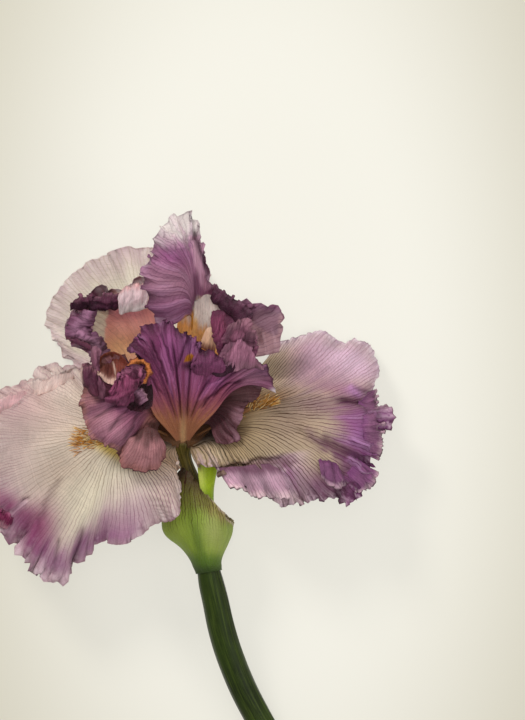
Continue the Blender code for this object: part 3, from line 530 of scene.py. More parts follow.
def petal_material(name, first_veins, width=0.34, wobble=0.55, through=0.45, roughness=0.5, relief=0.12, spread=1.5, mottling=0.35):
    """Living petal tissue: its own tint with forked veins at an even spacing, fine cell texture with faint painted
    white glints on the cells, and light passing through.

    Point attributes: tint (colour, in most sheets with painted shade and highlights of their folds, hollows and
    crimps), vein (colour of the veins), veining (their strength), cell (mm per whole turn of u).
    """
    t = Tree(name)
    uv = t.add("ShaderNodeUVMap", uv_map="Grain").outputs["UV"]
    split = t.add("ShaderNodeSeparateXYZ")
    t.put(split.inputs[0], uv)
    u, v = split.outputs[0], split.outputs[1]
    cell = t.attribute("cell")
    along = t.attribute("along")
    place_ = t.add("ShaderNodeTexCoord").outputs["Object"]
    wander = t.math("SUBTRACT", t.noise(place_, 130.0, 2.0), 0.5)
    fine = t.math("SUBTRACT", t.noise(place_, 520.0, 2.0), 0.5)
    shift = t.math("ADD", t.math("MULTIPLY", wander, wobble * 2.6), t.math("MULTIPLY", fine, wobble * 0.9))
    u2 = t.math("ADD", u, t.math("DIVIDE", shift, cell))
    strength = None
    count = first_veins
    for level in range(4):
        pitch = t.math("DIVIDE", cell, count)          # mm between veins at this level
        offset = 0.5 if level else 0.0                  # the new veins run between the old ones
        number = count if level == 0 else count / 2
        x = t.math("FRACT", t.math("ADD", t.math("MULTIPLY", u2, number), offset + 0.5))
        away = t.math("MULTIPLY", t.math("ABSOLUTE", t.math("SUBTRACT", x, 0.5)), t.math("DIVIDE", cell, number))
        line = t.step(away, width * 0.35, width * 1.25, 1.0, 0.0)
        here = t.step(pitch, spread * 0.62, spread * 1.05)
        line = t.math("MULTIPLY", line, here)
        if level == 0:
            line = t.math("MULTIPLY", line, 1.0)
        strength = line if strength is None else t.math("MAXIMUM", strength, line)
        count *= 2
    patchy = t.step(t.noise(t.vector(t.math("MULTIPLY", u2, 46.0), t.math("MULTIPLY", along, 0.09)), 1.0, 3.0), 0.25, 0.62, 0.35, 1.0)
    strength = t.math("MULTIPLY", strength, patchy)
    veins = t.math("MULTIPLY", strength, t.attribute("veining"), clamp=True)
    grain = t.noise(t.vector(t.math("MULTIPLY", t.math("MULTIPLY", u2, cell), 2.4), t.math("MULTIPLY", along, 0.55)), 1.0, 4.0, 0.65)
    cells_and_glints = t.noise(place_, 2600.0, 2.0, 0.6)
    tint = t.attribute("tint", "Color")
    shade = t.step(grain, 0.25, 0.75, 1.0 - mottling * 0.5, 1.0 + mottling * 0.35)
    scale = t.add("ShaderNodeVectorMath", operation="SCALE")
    t.put(scale.inputs[0], tint)
    t.put(scale.inputs["Scale"], shade)
    # faint painted white glints on the cells
    colour = t.mix(t.math("MULTIPLY", t.step(cells_and_glints, 0.35, 0.75), 0.035), scale.outputs[0], (1, 1, 1, 1), "MIX")
    colour = t.mix(veins, colour, t.attribute("vein", "Color"))
    bump = t.add("ShaderNodeBump")
    bump.inputs["Strength"].default_value = 0.55
    bump.inputs["Distance"].default_value = relief / 1000
    height = t.math("ADD", t.math("MULTIPLY", strength, -0.8), t.math("MULTIPLY", grain, 1.1))
    height = t.math("ADD", height, t.math("MULTIPLY", cells_and_glints, 0.35))
    t.put(bump.inputs["Height"], height)
    face = t.add("ShaderNodeBsdfPrincipled")
    t.put(face.inputs["Base Color"], colour)
    face.inputs["Roughness"].default_value = roughness
    face.inputs["Specular IOR Level"].default_value = 0.14
    face.inputs["Sheen Weight"].default_value = 0.02
    face.inputs["Sheen Roughness"].default_value = 0.4
    t.put(face.inputs["Normal"], bump.outputs[0])
    lit = t.add("ShaderNodeBsdfTranslucent")
    glow = t.add("ShaderNodeGamma")
    t.put(glow.inputs["Color"], colour)
    glow.inputs["Gamma"].default_value = 0.85
    t.put(lit.inputs["Color"], glow.outputs[0])
    t.put(lit.inputs["Normal"], bump.outputs[0])
    blend = t.add("ShaderNodeMixShader")
    blend.inputs[0].default_value = through
    t.links.new(face.outputs[0], blend.inputs[1])
    t.links.new(lit.outputs[0], blend.inputs[2])
    t.links.new(blend.outputs[0], t.add("ShaderNodeOutputMaterial").inputs[0])
    return t.material


# ---------------------------------------------------------------- petals as fine sheets
class Sheet:
    """A petal's fine grid with what the painting and the ruffles need to know at each point."""

    def __init__(self, name, across, along, crowd=1.5, us=None):
        self.name = name
        us = np.linspace(0, 1, across) if us is None else us
        vs = 1 - (1 - np.linspace(0, 1, along)) ** crowd
        self.p = surface(name, us, vs)
        self.u = np.repeat(us[:, None], along, 1)
        self.v = np.repeat(vs[None, :], across, 0)
        step = np.linalg.norm(np.diff(self.p, axis=1), axis=2)
        run = np.concatenate([np.zeros((across, 1)), np.cumsum(step, 1)], 1)
        self.along = run
        self.t = run[:, -1:] - run                       # mm from the margin, along the vein
        base = sheet(name, us, vs)
        edge = np.linalg.norm(np.diff(base[:, -1], axis=0), axis=1)
        s = np.concatenate([[0], np.cumsum(edge)])
        self.length = s[-1]
        self.s = np.repeat(s[:, None], along, 1)         # mm along the margin
        wide = np.linalg.norm(np.gradient(base, us, axis=0), axis=2)
        self.cell = np.maximum(wide, 2.0)
        self.side = np.minimum(self.s, self.length - self.s)   # mm along the margin from the nearer end
        self.axes()

    def axes(self):
        du, dv = np.gradient(self.p, axis=0), np.gradient(self.p, axis=1)
        self.d = dv / np.maximum(np.linalg.norm(dv, axis=-1, keepdims=True), 1e-9)
        n = np.cross(du, dv)
        self.n = n / np.maximum(np.linalg.norm(n, axis=-1, keepdims=True), 1e-9)
        self.c = np.cross(self.d, self.n)

    def push(self, normal=None, out=None, across=None):
        for axis, amount in ((self.n, normal), (self.d, out), (self.c, across)):
            if amount is not None:
                self.p = self.p + axis * amount[..., None]

    def calm(self, reach=8.0):
        """0 at the two ends of the margin, 1 away from them."""
        return smooth(self.side, 0.0, reach)

    def ruffle(self, height, pitch, depth, seed, roll=0.5, lean=0.0, where=1.0, reach=9.0):
        """Waves along the margin: height and pitch in mm, dying out over depth mm; roll folds their crests over."""
        s = self.s + lean * self.t + 0.35 * pitch * noise2(self.s / (2.2 * pitch), self.t / (1.4 * pitch), seed + 5)
        phase = 2 * math.pi * (s / pitch + 0.55 * noise1(s / (1.9 * pitch), seed))
        size = height * (0.62 + 0.5 * noise1(s / (1.3 * pitch), seed + 1)) * np.exp(-((self.t / depth) ** 1.25)) * where * self.calm(reach)
        self.push(normal=size * np.sin(phase), across=roll * size * np.cos(phase))
        self.axes()

    def lace(self, height, pitch, seed, cut=0.8, depth=2.6, where=1.0):
        """The finely crimped, nicked rim."""
        k = np.exp(-((self.t / depth) ** 1.3)) * where * (0.35 + 0.65 * self.calm(5.0))
        n = noise1(self.s / pitch, seed) + 0.6 * noise1(self.s / (0.47 * pitch) + 0.2 * self.t, seed + 1)
        m = noise1(self.s / (1.4 * pitch), seed + 2) + 0.7 * noise1(self.s / (0.55 * pitch), seed + 3)
        self.push(normal=height * k * n, out=cut * k * m)
        self.axes()

    def crumple(self, height, size, seed, where=1.0, sharp=1.0):
        """Creased, paper-like crumpling: ridged noise in the plane of the sheet."""
        a, b = self.s / size, self.along / size
        wa, wb = 0.8 * noise2(a * 0.7, b * 0.7, seed + 9), 0.8 * noise2(a * 0.7 + 40, b * 0.7, seed + 9)
        total, amp = 0.0, 1.0
        for k in range(3):
            total = total + amp * facets((a + wa) * 1.9**k, (b + wb) * 1.9**k, seed + k)
            amp *= 0.55
        self.push(normal=height * where * total)
        self.axes()

    def fold(self, line, width, depth, step=0.0, wander=0.0, seed=0):
        """A crease along a line of drawing points: depth mm in or out over width units, and with step a terrace that is
        higher on the line's left. Returns how near the line each point is, 0 to 1."""
        a, b = self.drawn()
        if wander:
            a = a + wander * noise2(a / 7, b / 7, seed)
            b = b + wander * noise2(a / 7 + 50, b / 7, seed)
        best, side, end = np.full(a.shape, 1e9), np.zeros(a.shape), np.ones(a.shape)
        total = len(line) - 1
        for k, ((x0, y0), (x1, y1)) in enumerate(zip(line, line[1:])):
            ex, ey = x1 - x0, y1 - y0
            q = np.clip(((a - x0) * ex + (b - y0) * ey) / (ex * ex + ey * ey), 0, 1)
            dist = np.hypot(a - x0 - q * ex, b - y0 - q * ey)
            near = dist < best
            best = np.where(near, dist, best)
            side = np.where(near, np.sign(ex * (b - y0) - ey * (a - x0)), side)
            end = np.where(near, (k + q) / total, end)
        fade = smooth(end, 0, 0.18) * (1 - smooth(end, 0.8, 1))
        w = np.exp(-((best / width) ** 2)) * fade
        lift = depth * w
        if step:
            signed = best * side
            lift = lift + step * fade * smooth(signed, -0.8, 0.8) * np.exp(-np.abs(signed) / (6 * width))
        self.p = self.p + np.array([0, 0, 1.0]) * lift[..., None]
        self.axes()
        return w

    def pleats(self, height, pitch, seed, start=0.15, end=0.6):
        """Soft folds running along the veins."""
        w = smooth(self.v, start, end)
        x = self.u * self.length / pitch
        self.push(normal=height * w * fbm2(x, self.along / (pitch * 4.0), seed, 3))

    def buckle(self, height, size, seed, start=0.2):
        w = smooth(self.v, start, start + 0.3)
        a, b = self.s / size, self.along / size
        self.push(normal=height * w * fbm2(a, b, seed, 3))

    def drawn(self):
        return drawing(self.p)

    def notch(self, depth, pitch, seed, reach, where=1.0, narrow=3.0):
        """Irregular cuts into the margin: the sheet is drawn back at them, depth mm, within reach mm of the margin."""
        n = noise1(self.s / pitch, seed)
        k = np.clip(1 - narrow * np.abs(n), 0, 1) ** 1.3 * (0.55 + 0.45 * noise1(self.s / (0.9 * pitch), seed + 1))
        self.push(out=-depth * k * where * self.calm(6.0) * np.exp(-((self.t / reach) ** 1.4)))
        self.axes()

    def frills(self, tint, light, dark, pitch, depth, seed, weight=0.6, where=1.0):
        """Painted lights and darks of fine crimps near the margin: painted highlight and shade in bars along it."""
        k = np.exp(-((self.t / depth) ** 1.2)) * where * weight
        x = self.s / pitch + 0.6 * noise2(self.s / (1.7 * pitch), self.t / (1.2 * pitch), seed)
        n = noise1(x, seed + 1) + 0.5 * noise1(2.3 * x, seed + 2)
        return mix(mix(tint, light, k * np.clip(n * 1.3, 0, 1)), dark, k * np.clip(-n * 1.3, 0, 1))

    def build(self, material, tint, vein, veining, thickness=0.34, rim=0.22, own=True):
        t = rim + (thickness - rim) * smooth(self.t, 0, 6)
        tint = np.clip(tint, 0, 1)
        grey = tint @ np.array([0.30, 0.59, 0.11])
        tint = grey[..., None] + (tint - grey[..., None]) * 1.09          # a little richer than the measured display colours
        p = self.p.copy()
        p[..., 2] = np.maximum(p[..., 2], t / 2 + 0.02)
        n = normals(p) * (t / 2)[..., None]
        front, back = p + n, p - n
        front[..., 2] = np.maximum(front[..., 2], 0.03)
        back[..., 2] = np.maximum(back[..., 2], 0.0)
        uv = np.stack([self.u, self.v], -1)
        vein = np.broadcast_to(vein, tint.shape) if np.ndim(vein) == 1 else vein
        obj = closed_shell(self.name + "_petal", front, back, material,
                           {"tint": np.clip(tint, 0, 1), "vein": np.clip(vein, 0, 1), "veining": veining, "cell": self.cell, "along": self.along}, uv)
        if own:
            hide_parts(self.name)
        return obj


CREAM = srgb(230, 223, 206)
PALE = srgb(226, 212, 206)
PINK = srgb(212, 174, 178)
LILAC = srgb(204, 170, 190)
MAUVE = srgb(170, 116, 150)
VIOLET = srgb(134, 68, 124)
MAGENTA = srgb(146, 58, 110)
PLUM = srgb(88, 34, 62)
WINE = srgb(56, 18, 30)
BROWN = srgb(96, 52, 26)
UMBER = srgb(50, 22, 9)
TAN = srgb(190, 158, 112)


def rim_line(f, tint, colour, weight=0.6, reach=0.9, seed=3):
    """A broken thin line of darker colour on the very margin."""
    broken = 0.45 + 0.75 * noise1(f.s / 2.6, seed)
    return mix(tint, colour, weight * np.clip(broken, 0, 1) * smooth(f.t, reach, 0.2))


def relief_shade(f, start, scale=1.1):
    """-1 in hollows to 1 on crests of what was pushed along the sheet's upward side; used to paint shade into the
    hollows and, on the small inner pieces, a highlight onto the crests.
    """
    return np.clip((f.p[..., 2] - start[..., 2]) / scale, -1, 1)


def streaks(f, seed, fine=60.0, length=22.0):
    """Fine light and dark streaks along the veins, -1 to 1."""
    return np.clip(1.6 * fbm2(f.u * fine, f.along / length, seed, 3), -1, 1)


# ---------------------------------------------------------------- left fall
def fall_left():
    f = Sheet("fall_left", 268, 112)
    start = f.p.copy()
    f.pleats(0.5, 5.0, 11)
    f.pleats(1.0, 10.0, 12, 0.45, 1.0)
    f.axes()
    low = smooth(f.u, 0.34, 0.40) * (1 - smooth(f.u, 0.56, 0.64))     # the deeply fringed lower left margin
    top = 1 - smooth(f.u, 0.24, 0.32)
    side = smooth(f.u, 0.66, 0.74)
    f.notch(4.2, 5.5, 27, 10.0, where=low)
    f.notch(2.4, 2.2, 29, 4.5, where=low, narrow=2.2)
    f.notch(1.6, 5.0, 28, 5.0, where=0.5 + 0.4 * top)
    f.ruffle(2.0, 16.0, 14.0, 21, roll=0.5, where=1 - 0.6 * side)
    f.ruffle(1.9, 7.5, 9.0, 22, roll=0.8, where=0.30 + 0.9 * low + 0.45 * top)
    f.ruffle(1.1, 3.8, 5.0, 23, roll=0.9, where=0.40 + 0.9 * low + 0.3 * top)
    f.ruffle(0.55, 2.1, 2.6, 24, roll=1.0, where=0.6 + 0.6 * low)
    dark = 0.8 * f.fold([(30, 494), (18, 506), (2, 516)], 1.5, -1.8, wander=1.5, seed=45)
    dark = np.maximum(dark, 0.35 * f.fold([(64, 474), (52, 492), (40, 520), (34, 546)], 3.2, -1.3, wander=2.0, seed=46))
    dark = np.maximum(dark, 0.5 * f.fold([(84, 524), (78, 548), (71, 576)], 2.6, -1.4))
    dark = np.maximum(dark, 0.5 * f.fold([(60, 535), (56, 556), (52, 580)], 2.2, -1.6))
    light = f.fold([(30, 498), (12, 512), (-4, 522)], 3.0, 1.6)
    f.fold([(78, 366), (55, 376), (32, 384)], 1.8, 0.8, step=1.5, wander=1.2, seed=37)
    f.fold([(50, 382), (28, 396), (8, 412)], 2.0, 0.7, step=1.2, wander=1.2, seed=38)
    f.fold([(60, 374), (66, 392), (70, 410)], 2.2, -0.9)
    f.fold([(36, 378), (40, 398), (48, 412)], 2.4, -0.9)
    ripple = smooth(f.u, 0.72, 0.80) * smooth(f.v, 0.45, 0.7)         # crinkles across the right lobe
    f.push(normal=0.16 * ripple * np.sin(2 * math.pi * (f.along / 2.6 + 1.2 * noise2(f.u * 16, f.along / 7, 39))))
    f.axes()
    f.lace(0.5, 1.9, 31, cut=0.5, where=0.6 + 1.5 * low)
    a, b = f.drawn()
    rise = relief_shade(f, start, 2.2)
    tint = np.broadcast_to(CREAM, f.p.shape).copy()
    grain = fbm2(f.u * 40, f.along / 16, 41, 4)
    streak = streaks(f, 42)
    tint = mix(tint, srgb(196, 178, 164), 0.65 * blob(a, b, (56, 470), (46, 22), -20))
    tint = mix(tint, PALE, 0.8 * smooth(f.t, 36, 12))
    tint = mix(tint, srgb(226, 194, 196), 0.7 * blob(a, b, (22, 402), (62, 32), 15))
    tint = mix(tint, srgb(236, 224, 216), 0.6 * blob(a, b, (66, 396), (26, 20), 15))
    tint = mix(tint, srgb(192, 172, 172), 0.6 * blob(a, b, (6, 452), (46, 46), 0))
    tint = mix(tint, srgb(202, 160, 186), 0.8 * smooth(f.t + 7 * grain + 4 * streak, 26, 6) * smooth(b, 466, 525) * (1 - 0.8 * smooth(a, 130, 166)))
    tint = mix(tint, srgb(146, 82, 136), 0.7 * smooth(f.t + 7 * grain + 5 * streak, 19, 4) * blob(a, b, (60, 548), (60, 32), 5))
    tint = mix(tint, srgb(132, 74, 118), 0.6 * blob(a, b, (92, 538), (12, 9), -30) * (0.6 + 0.4 * np.clip(-streak, 0, 1)))
    tint = mix(tint, srgb(178, 122, 164), 0.6 * smooth(f.t + 4 * grain, 10, 4) * blob(a, b, (104, 538), (34, 12), -12))
    tint = mix(tint, srgb(240, 220, 224), 0.85 * smooth(f.t + 3 * grain + 3 * streak, 9.0, 1.5) * low)
    tint = mix(tint, srgb(204, 178, 186), 0.6 * smooth(f.t + 2 * grain, 4, 0.5) * smooth(a, 40, 60))
    tint = mix(tint, MAGENTA, 0.9 * blob(a, b, (36, 530), (20, 30), 25))
    tint = mix(tint, MAGENTA, 0.85 * blob(a, b, (10, 506), (28, 11), 30))
    # painted highlight along the raised fold
    tint = mix(tint, srgb(226, 200, 212), 0.6 * light)
    # painted shade in the creases of the folds
    tint = mix(tint, PLUM, 0.6 * dark)
    tint = mix(tint, srgb(226, 192, 208), 0.7 * np.clip(streak, 0, 1) * smooth(f.t, 20, 4) * low)
    tint = mix(tint, srgb(122, 58, 104), 0.5 * np.clip(-streak, 0, 1) * smooth(f.t, 18, 4) * low)
    tint = mix(tint, srgb(216, 192, 180), 0.5 * blob(a, b, (170, 480), (18, 40)))
    # painted light, lifting the shadow that the left style arm's lobe casts here
    tint = mix(tint, srgb(252, 232, 218), 0.8 * blob(a, b, (162, 464), (18, 14)))
    tint = mix(tint, srgb(222, 200, 206), 0.5 * blob(a, b, (150, 514), (26, 14), 20))
    tint = mix(tint, srgb(206, 182, 152), 0.8 * smooth(f.along, 30, 10))
    # painted shade at the haft's base, under the flower's centre
    tint = mix(tint, UMBER, 0.85 * smooth(f.along, 17, 6) * smooth(b, 452, 444))
    tint = mix(tint, srgb(232, 206, 96), 0.75 * blob(a, b, (110, 450), (26, 6), 28))
    # painted shade in the hollows of the ruffles
    tint = mix(tint, tint * 0.6, 0.7 * np.clip(-rise, 0, 1) * smooth(f.t, 20, 5))
    tint = f.frills(tint, srgb(240, 228, 230), srgb(150, 112, 130), 1.5, 6.0, 43, 0.55, 1 - 0.5 * low)
    tint = f.frills(tint, srgb(240, 222, 230), srgb(134, 74, 112), 1.3, 6.0, 44, 0.8, low)
    tint = rim_line(f, tint, srgb(150, 100, 104), 0.55)
    tint = tint * (1 + 0.14 * grain[..., None])
    vein = mix(np.broadcast_to(srgb(132, 98, 74), tint.shape), srgb(150, 84, 116), smooth(f.t, 32, 10))
    vein = mix(vein, MAGENTA * 0.8, 0.8 * smooth(b, 490, 540))
    vein = mix(vein, UMBER, smooth(f.along, 40, 18))
    veining = 0.42 + 0.30 * smooth(f.along, 58, 26) + 0.2 * smooth(a, 110, 160)
    veining = veining * (1 - 0.5 * smooth(f.t, 9, 2))
    return f.build(petal_material("fall_left_skin", 26, width=0.18, spread=1.15, relief=0.2), tint, vein, veining)


# ---------------------------------------------------------------- right fall
def fall_right():
    f = Sheet("fall_right", 268, 110)
    start = f.p.copy()
    f.pleats(0.5, 6.0, 51)
    f.pleats(1.1, 9.0, 52, 0.5, 1.0)
    f.axes()
    low = smooth(f.u, 0.36, 0.44)
    right = low * (1 - smooth(f.u, 0.56, 0.66))
    f.notch(1.0, 2.6, 67, 3.0, where=0.6 - 0.4 * right)
    f.ruffle(2.4, 14.0, 13.0, 61, roll=0.6, where=0.2 + 0.85 * low)
    f.ruffle(2.0, 6.0, 9.0, 62, roll=0.5, where=0.2 + 0.9 * low)
    f.ruffle(1.2, 3.2, 5.0, 63, roll=0.4, where=0.4 + 0.8 * low)
    f.ruffle(0.5, 1.9, 2.8, 65, roll=0.5, where=0.6 + 0.4 * low)
    dark = f.fold([(336, 398), (360, 403), (382, 406)], 2.8, -2.4)
    dark = np.maximum(dark, 0.9 * f.fold([(318, 436), (345, 452), (372, 468)], 4.5, -2.2))
    dark = np.maximum(dark, 0.8 * f.fold([(350, 388), (368, 392), (384, 396)], 2.2, -1.6))
    dark = np.maximum(dark, 0.9 * f.fold([(326, 470), (336, 486), (340, 504)], 3.2, -2.2))
    dark = np.maximum(dark, 0.7 * f.fold([(366, 404), (368, 424), (364, 444)], 2.4, -1.4))
    light = f.fold([(348, 436), (362, 444), (376, 450)], 3.6, 2.6)
    light = np.maximum(light, f.fold([(346, 456), (358, 464), (366, 474)], 3.0, 2.2))
    f.fold([(306, 392), (330, 400), (352, 404)], 2.0, -1.2, wander=1.5, seed=68)
    f.fold([(292, 426), (312, 440), (330, 452)], 2.4, -1.2, wander=1.5, seed=69)
    light = np.maximum(light, f.fold([(348, 384), (362, 398)], 3.0, 1.8))
    terrace_fold_shade = f.fold([(209, 468), (226, 465), (243, 463), (258, 459), (273, 457), (292, 452)], 1.5, -0.8, step=-2.6, wander=2.0, seed=64)
    curl = np.maximum(blob(*f.drawn(), (375, 420), (10, 30), 0), blob(*f.drawn(), (345, 484), (20, 16), 40))
    f.crumple(1.1, 4.0, 66, where=curl)
    f.lace(0.5, 1.8, 71, cut=0.45, where=0.8 + 0.3 * low)
    a, b = f.drawn()
    rise = relief_shade(f, start, 2.2)
    grain = fbm2(f.u * 40, f.along / 16, 81, 4)
    streak = streaks(f, 82)
    tint = np.broadcast_to(srgb(206, 188, 164), f.p.shape).copy()
    tint = mix(tint, srgb(168, 142, 130), 0.6 * blob(a, b, (290, 422), (40, 24), 10))
    tint = mix(tint, srgb(156, 122, 136), 0.7 * blob(a, b, (322, 406), (34, 12), 12))
    tint = mix(tint, srgb(206, 188, 168), 0.7 * blob(a, b, (332, 430), (18, 12), 30))
    tint = mix(tint, LILAC, 0.9 * smooth(b + 8 * grain, 404, 370) * smooth(a, 268, 312))
    tint = mix(tint, srgb(238, 214, 232), 0.9 * blob(a, b, (350, 360), (36, 17), 25))
    tint = mix(tint, srgb(222, 204, 208), 0.8 * smooth(f.t, 12, 2) * smooth(b, 400, 350))
    tint = mix(tint, MAUVE, 0.6 * blob(a, b, (345, 392), (34, 8), 14))
    tint = mix(tint, srgb(152, 82, 146), 0.9 * smooth(a + 12 * grain + 9 * streak, 326, 362) * smooth(b, 396, 414))
    tint = mix(tint, srgb(204, 166, 200), 0.5 * np.clip(streak, 0, 1) * smooth(a, 320, 350) * smooth(b, 396, 420))
    lined = 0.45 + 0.55 * np.clip(-1.8 * streak, 0, 1)
    tint = mix(tint, srgb(112, 52, 104), 0.85 * lined * within(a, b, [(308, 430), (328, 437), (346, 444), (370, 456), (368, 467), (344, 462), (322, 450), (306, 438)], 6.0, 3.0, 86))
    tint = mix(tint, srgb(104, 46, 96), 0.8 * lined * within(a, b, [(334, 397), (356, 400), (378, 403), (378, 409), (352, 407), (334, 403)], 3.5, 1.5, 89))
    tint = mix(tint, srgb(196, 140, 196), 0.6 * blob(a, b, (362, 436), (14, 8), 30) + 0.6 * blob(a, b, (356, 392), (14, 6), 20))
    tint = mix(tint, VIOLET, 0.8 * smooth(f.t + 5 * grain, 26, 9) * smooth(b, 440, 476) * smooth(a, 286, 316))
    under = smooth(b - 468 + (a - 209) * 0.18, -3, 3) * (1 - smooth(a, 285, 320))
    # the pale lilac below the terraced fold, painted paler still as painted light where it faces away from the lamps
    tint = mix(tint, srgb(232, 206, 216), 0.95 * under)
    tint = mix(tint, srgb(142, 94, 132), 0.75 * under * within(a, b, [(276, 470), (300, 464), (322, 468), (336, 486), (322, 500), (300, 498), (284, 488)], 7.0, 4.0, 88))
    # painted shade just below the terraced fold
    tint = mix(tint, srgb(112, 66, 88), 0.75 * under * within(a, b, [(218, 466), (240, 463), (268, 458), (290, 454), (300, 462), (276, 470), (252, 474), (230, 476)], 4.0, 3.0, 87))
    tint = mix(tint, srgb(170, 116, 152), 0.5 * under * smooth(grain + 0.3 * streak, 0.1, 0.5))
    # painted shade along the terraced fold
    tint = mix(tint, PLUM, 0.75 * terrace_fold_shade)
    # painted shade in the creases of the folds
    tint = mix(tint, PLUM, 0.55 * dark)
    # painted highlight along the raised folds
    tint = mix(tint, srgb(206, 158, 204), 0.75 * light)
    # painted shade in the hollows of the ruffles
    tint = mix(tint, tint * 0.6, 0.6 * np.clip(-rise, 0, 1) * smooth(f.t, 20, 5))
    tint = mix(tint, srgb(180, 154, 110), 0.65 * smooth(f.along, 44, 20))
    tint = mix(tint, BROWN, 0.8 * smooth(f.along, 30, 16) * smooth(b, 452, 436))
    # painted shade at the haft's base, in the hollow under the flower's centre
    tint = mix(tint, UMBER * 0.5, 0.97 * smooth(f.along + 4 * grain, 24, 13) * smooth(b, 450, 440))
    tint = mix(tint, srgb(222, 204, 176), 0.85 * blob(a, b, (214, 456), (16, 10), 10))
    tint = mix(tint, srgb(186, 128, 50), 0.6 * blob(a, b, (262, 400), (24, 7), -14))
    tint = mix(tint, srgb(60, 30, 34), 0.55 * curl * smooth(fbm2(a / 3, b / 3, 83, 3), 0.05, -0.25))
    tint = mix(tint, srgb(238, 224, 232), 0.7 * (1 - low) * smooth(f.t + 1.5 * grain, 3.5, 0.8))
    tint = f.frills(tint, srgb(244, 230, 238), srgb(150, 108, 140), 1.4, 5.0, 84, 0.5, 1 - low)
    tint = f.frills(tint, srgb(236, 212, 226), srgb(84, 38, 70), 1.1, 5.5, 85, 0.85, low)
    tint = rim_line(f, tint, srgb(104, 60, 70), 0.6)
    tint = tint * (1 + 0.15 * grain[..., None])
    vein = mix(np.broadcast_to(srgb(76, 46, 24), tint.shape), srgb(120, 60, 100), smooth(a, 300, 345))
    vein = mix(vein, srgb(176, 134, 150), smooth(b, 400, 370) * smooth(a, 284, 310))
    vein = mix(vein, PLUM, 0.8 * smooth(b, 430, 480) * smooth(a, 280, 330))
    vein = mix(vein, UMBER * 0.6, smooth(f.along, 46, 22))
    veining = 0.74 + 0.2 * smooth(f.along, 62, 28)
    veining = veining * (1 - 0.4 * smooth(f.t, 9, 2))
    return f.build(petal_material("fall_right_skin", 26, width=0.22, spread=1.2, relief=0.2), tint, vein, veining)


# ---------------------------------------------------------------- back fall
def fall_back():
    f = Sheet("fall_back", 130, 64)
    f.pleats(0.4, 7.0, 91)
    f.axes()
    f.ruffle(2.2, 14.0, 11.0, 92, roll=0.4)
    f.ruffle(1.3, 6.5, 6.0, 93, roll=0.6)
    f.lace(0.5, 2.2, 94, cut=0.5)
    a, b = f.drawn()
    grain = fbm2(f.u * 34, f.along / 16, 95, 4)
    tint = np.broadcast_to(srgb(246, 242, 232), f.p.shape).copy()
    tint = mix(tint, srgb(236, 216, 226), 0.5 * smooth(f.t + 5 * grain, 14, 2))
    tint = mix(tint, srgb(226, 200, 214), 0.6 * blob(a, b, (92, 372), (26, 16)))
    tint = mix(tint, TAN, 0.8 * smooth(f.along, 40, 14))
    tint = f.frills(tint, srgb(246, 240, 238), srgb(176, 146, 160), 1.6, 4.5, 97, 0.45)
    tint = rim_line(f, tint, srgb(170, 130, 130), 0.4)
    tint = tint * (1 + 0.08 * grain[..., None])
    vein = mix(np.broadcast_to(srgb(172, 156, 120), tint.shape), UMBER, smooth(f.along, 44, 22))
    veining = 0.34 + 0.3 * smooth(f.along, 50, 25)
    return f.build(petal_material("fall_back_skin", 20, width=0.18, through=0.55, spread=1.25), tint, vein, veining)


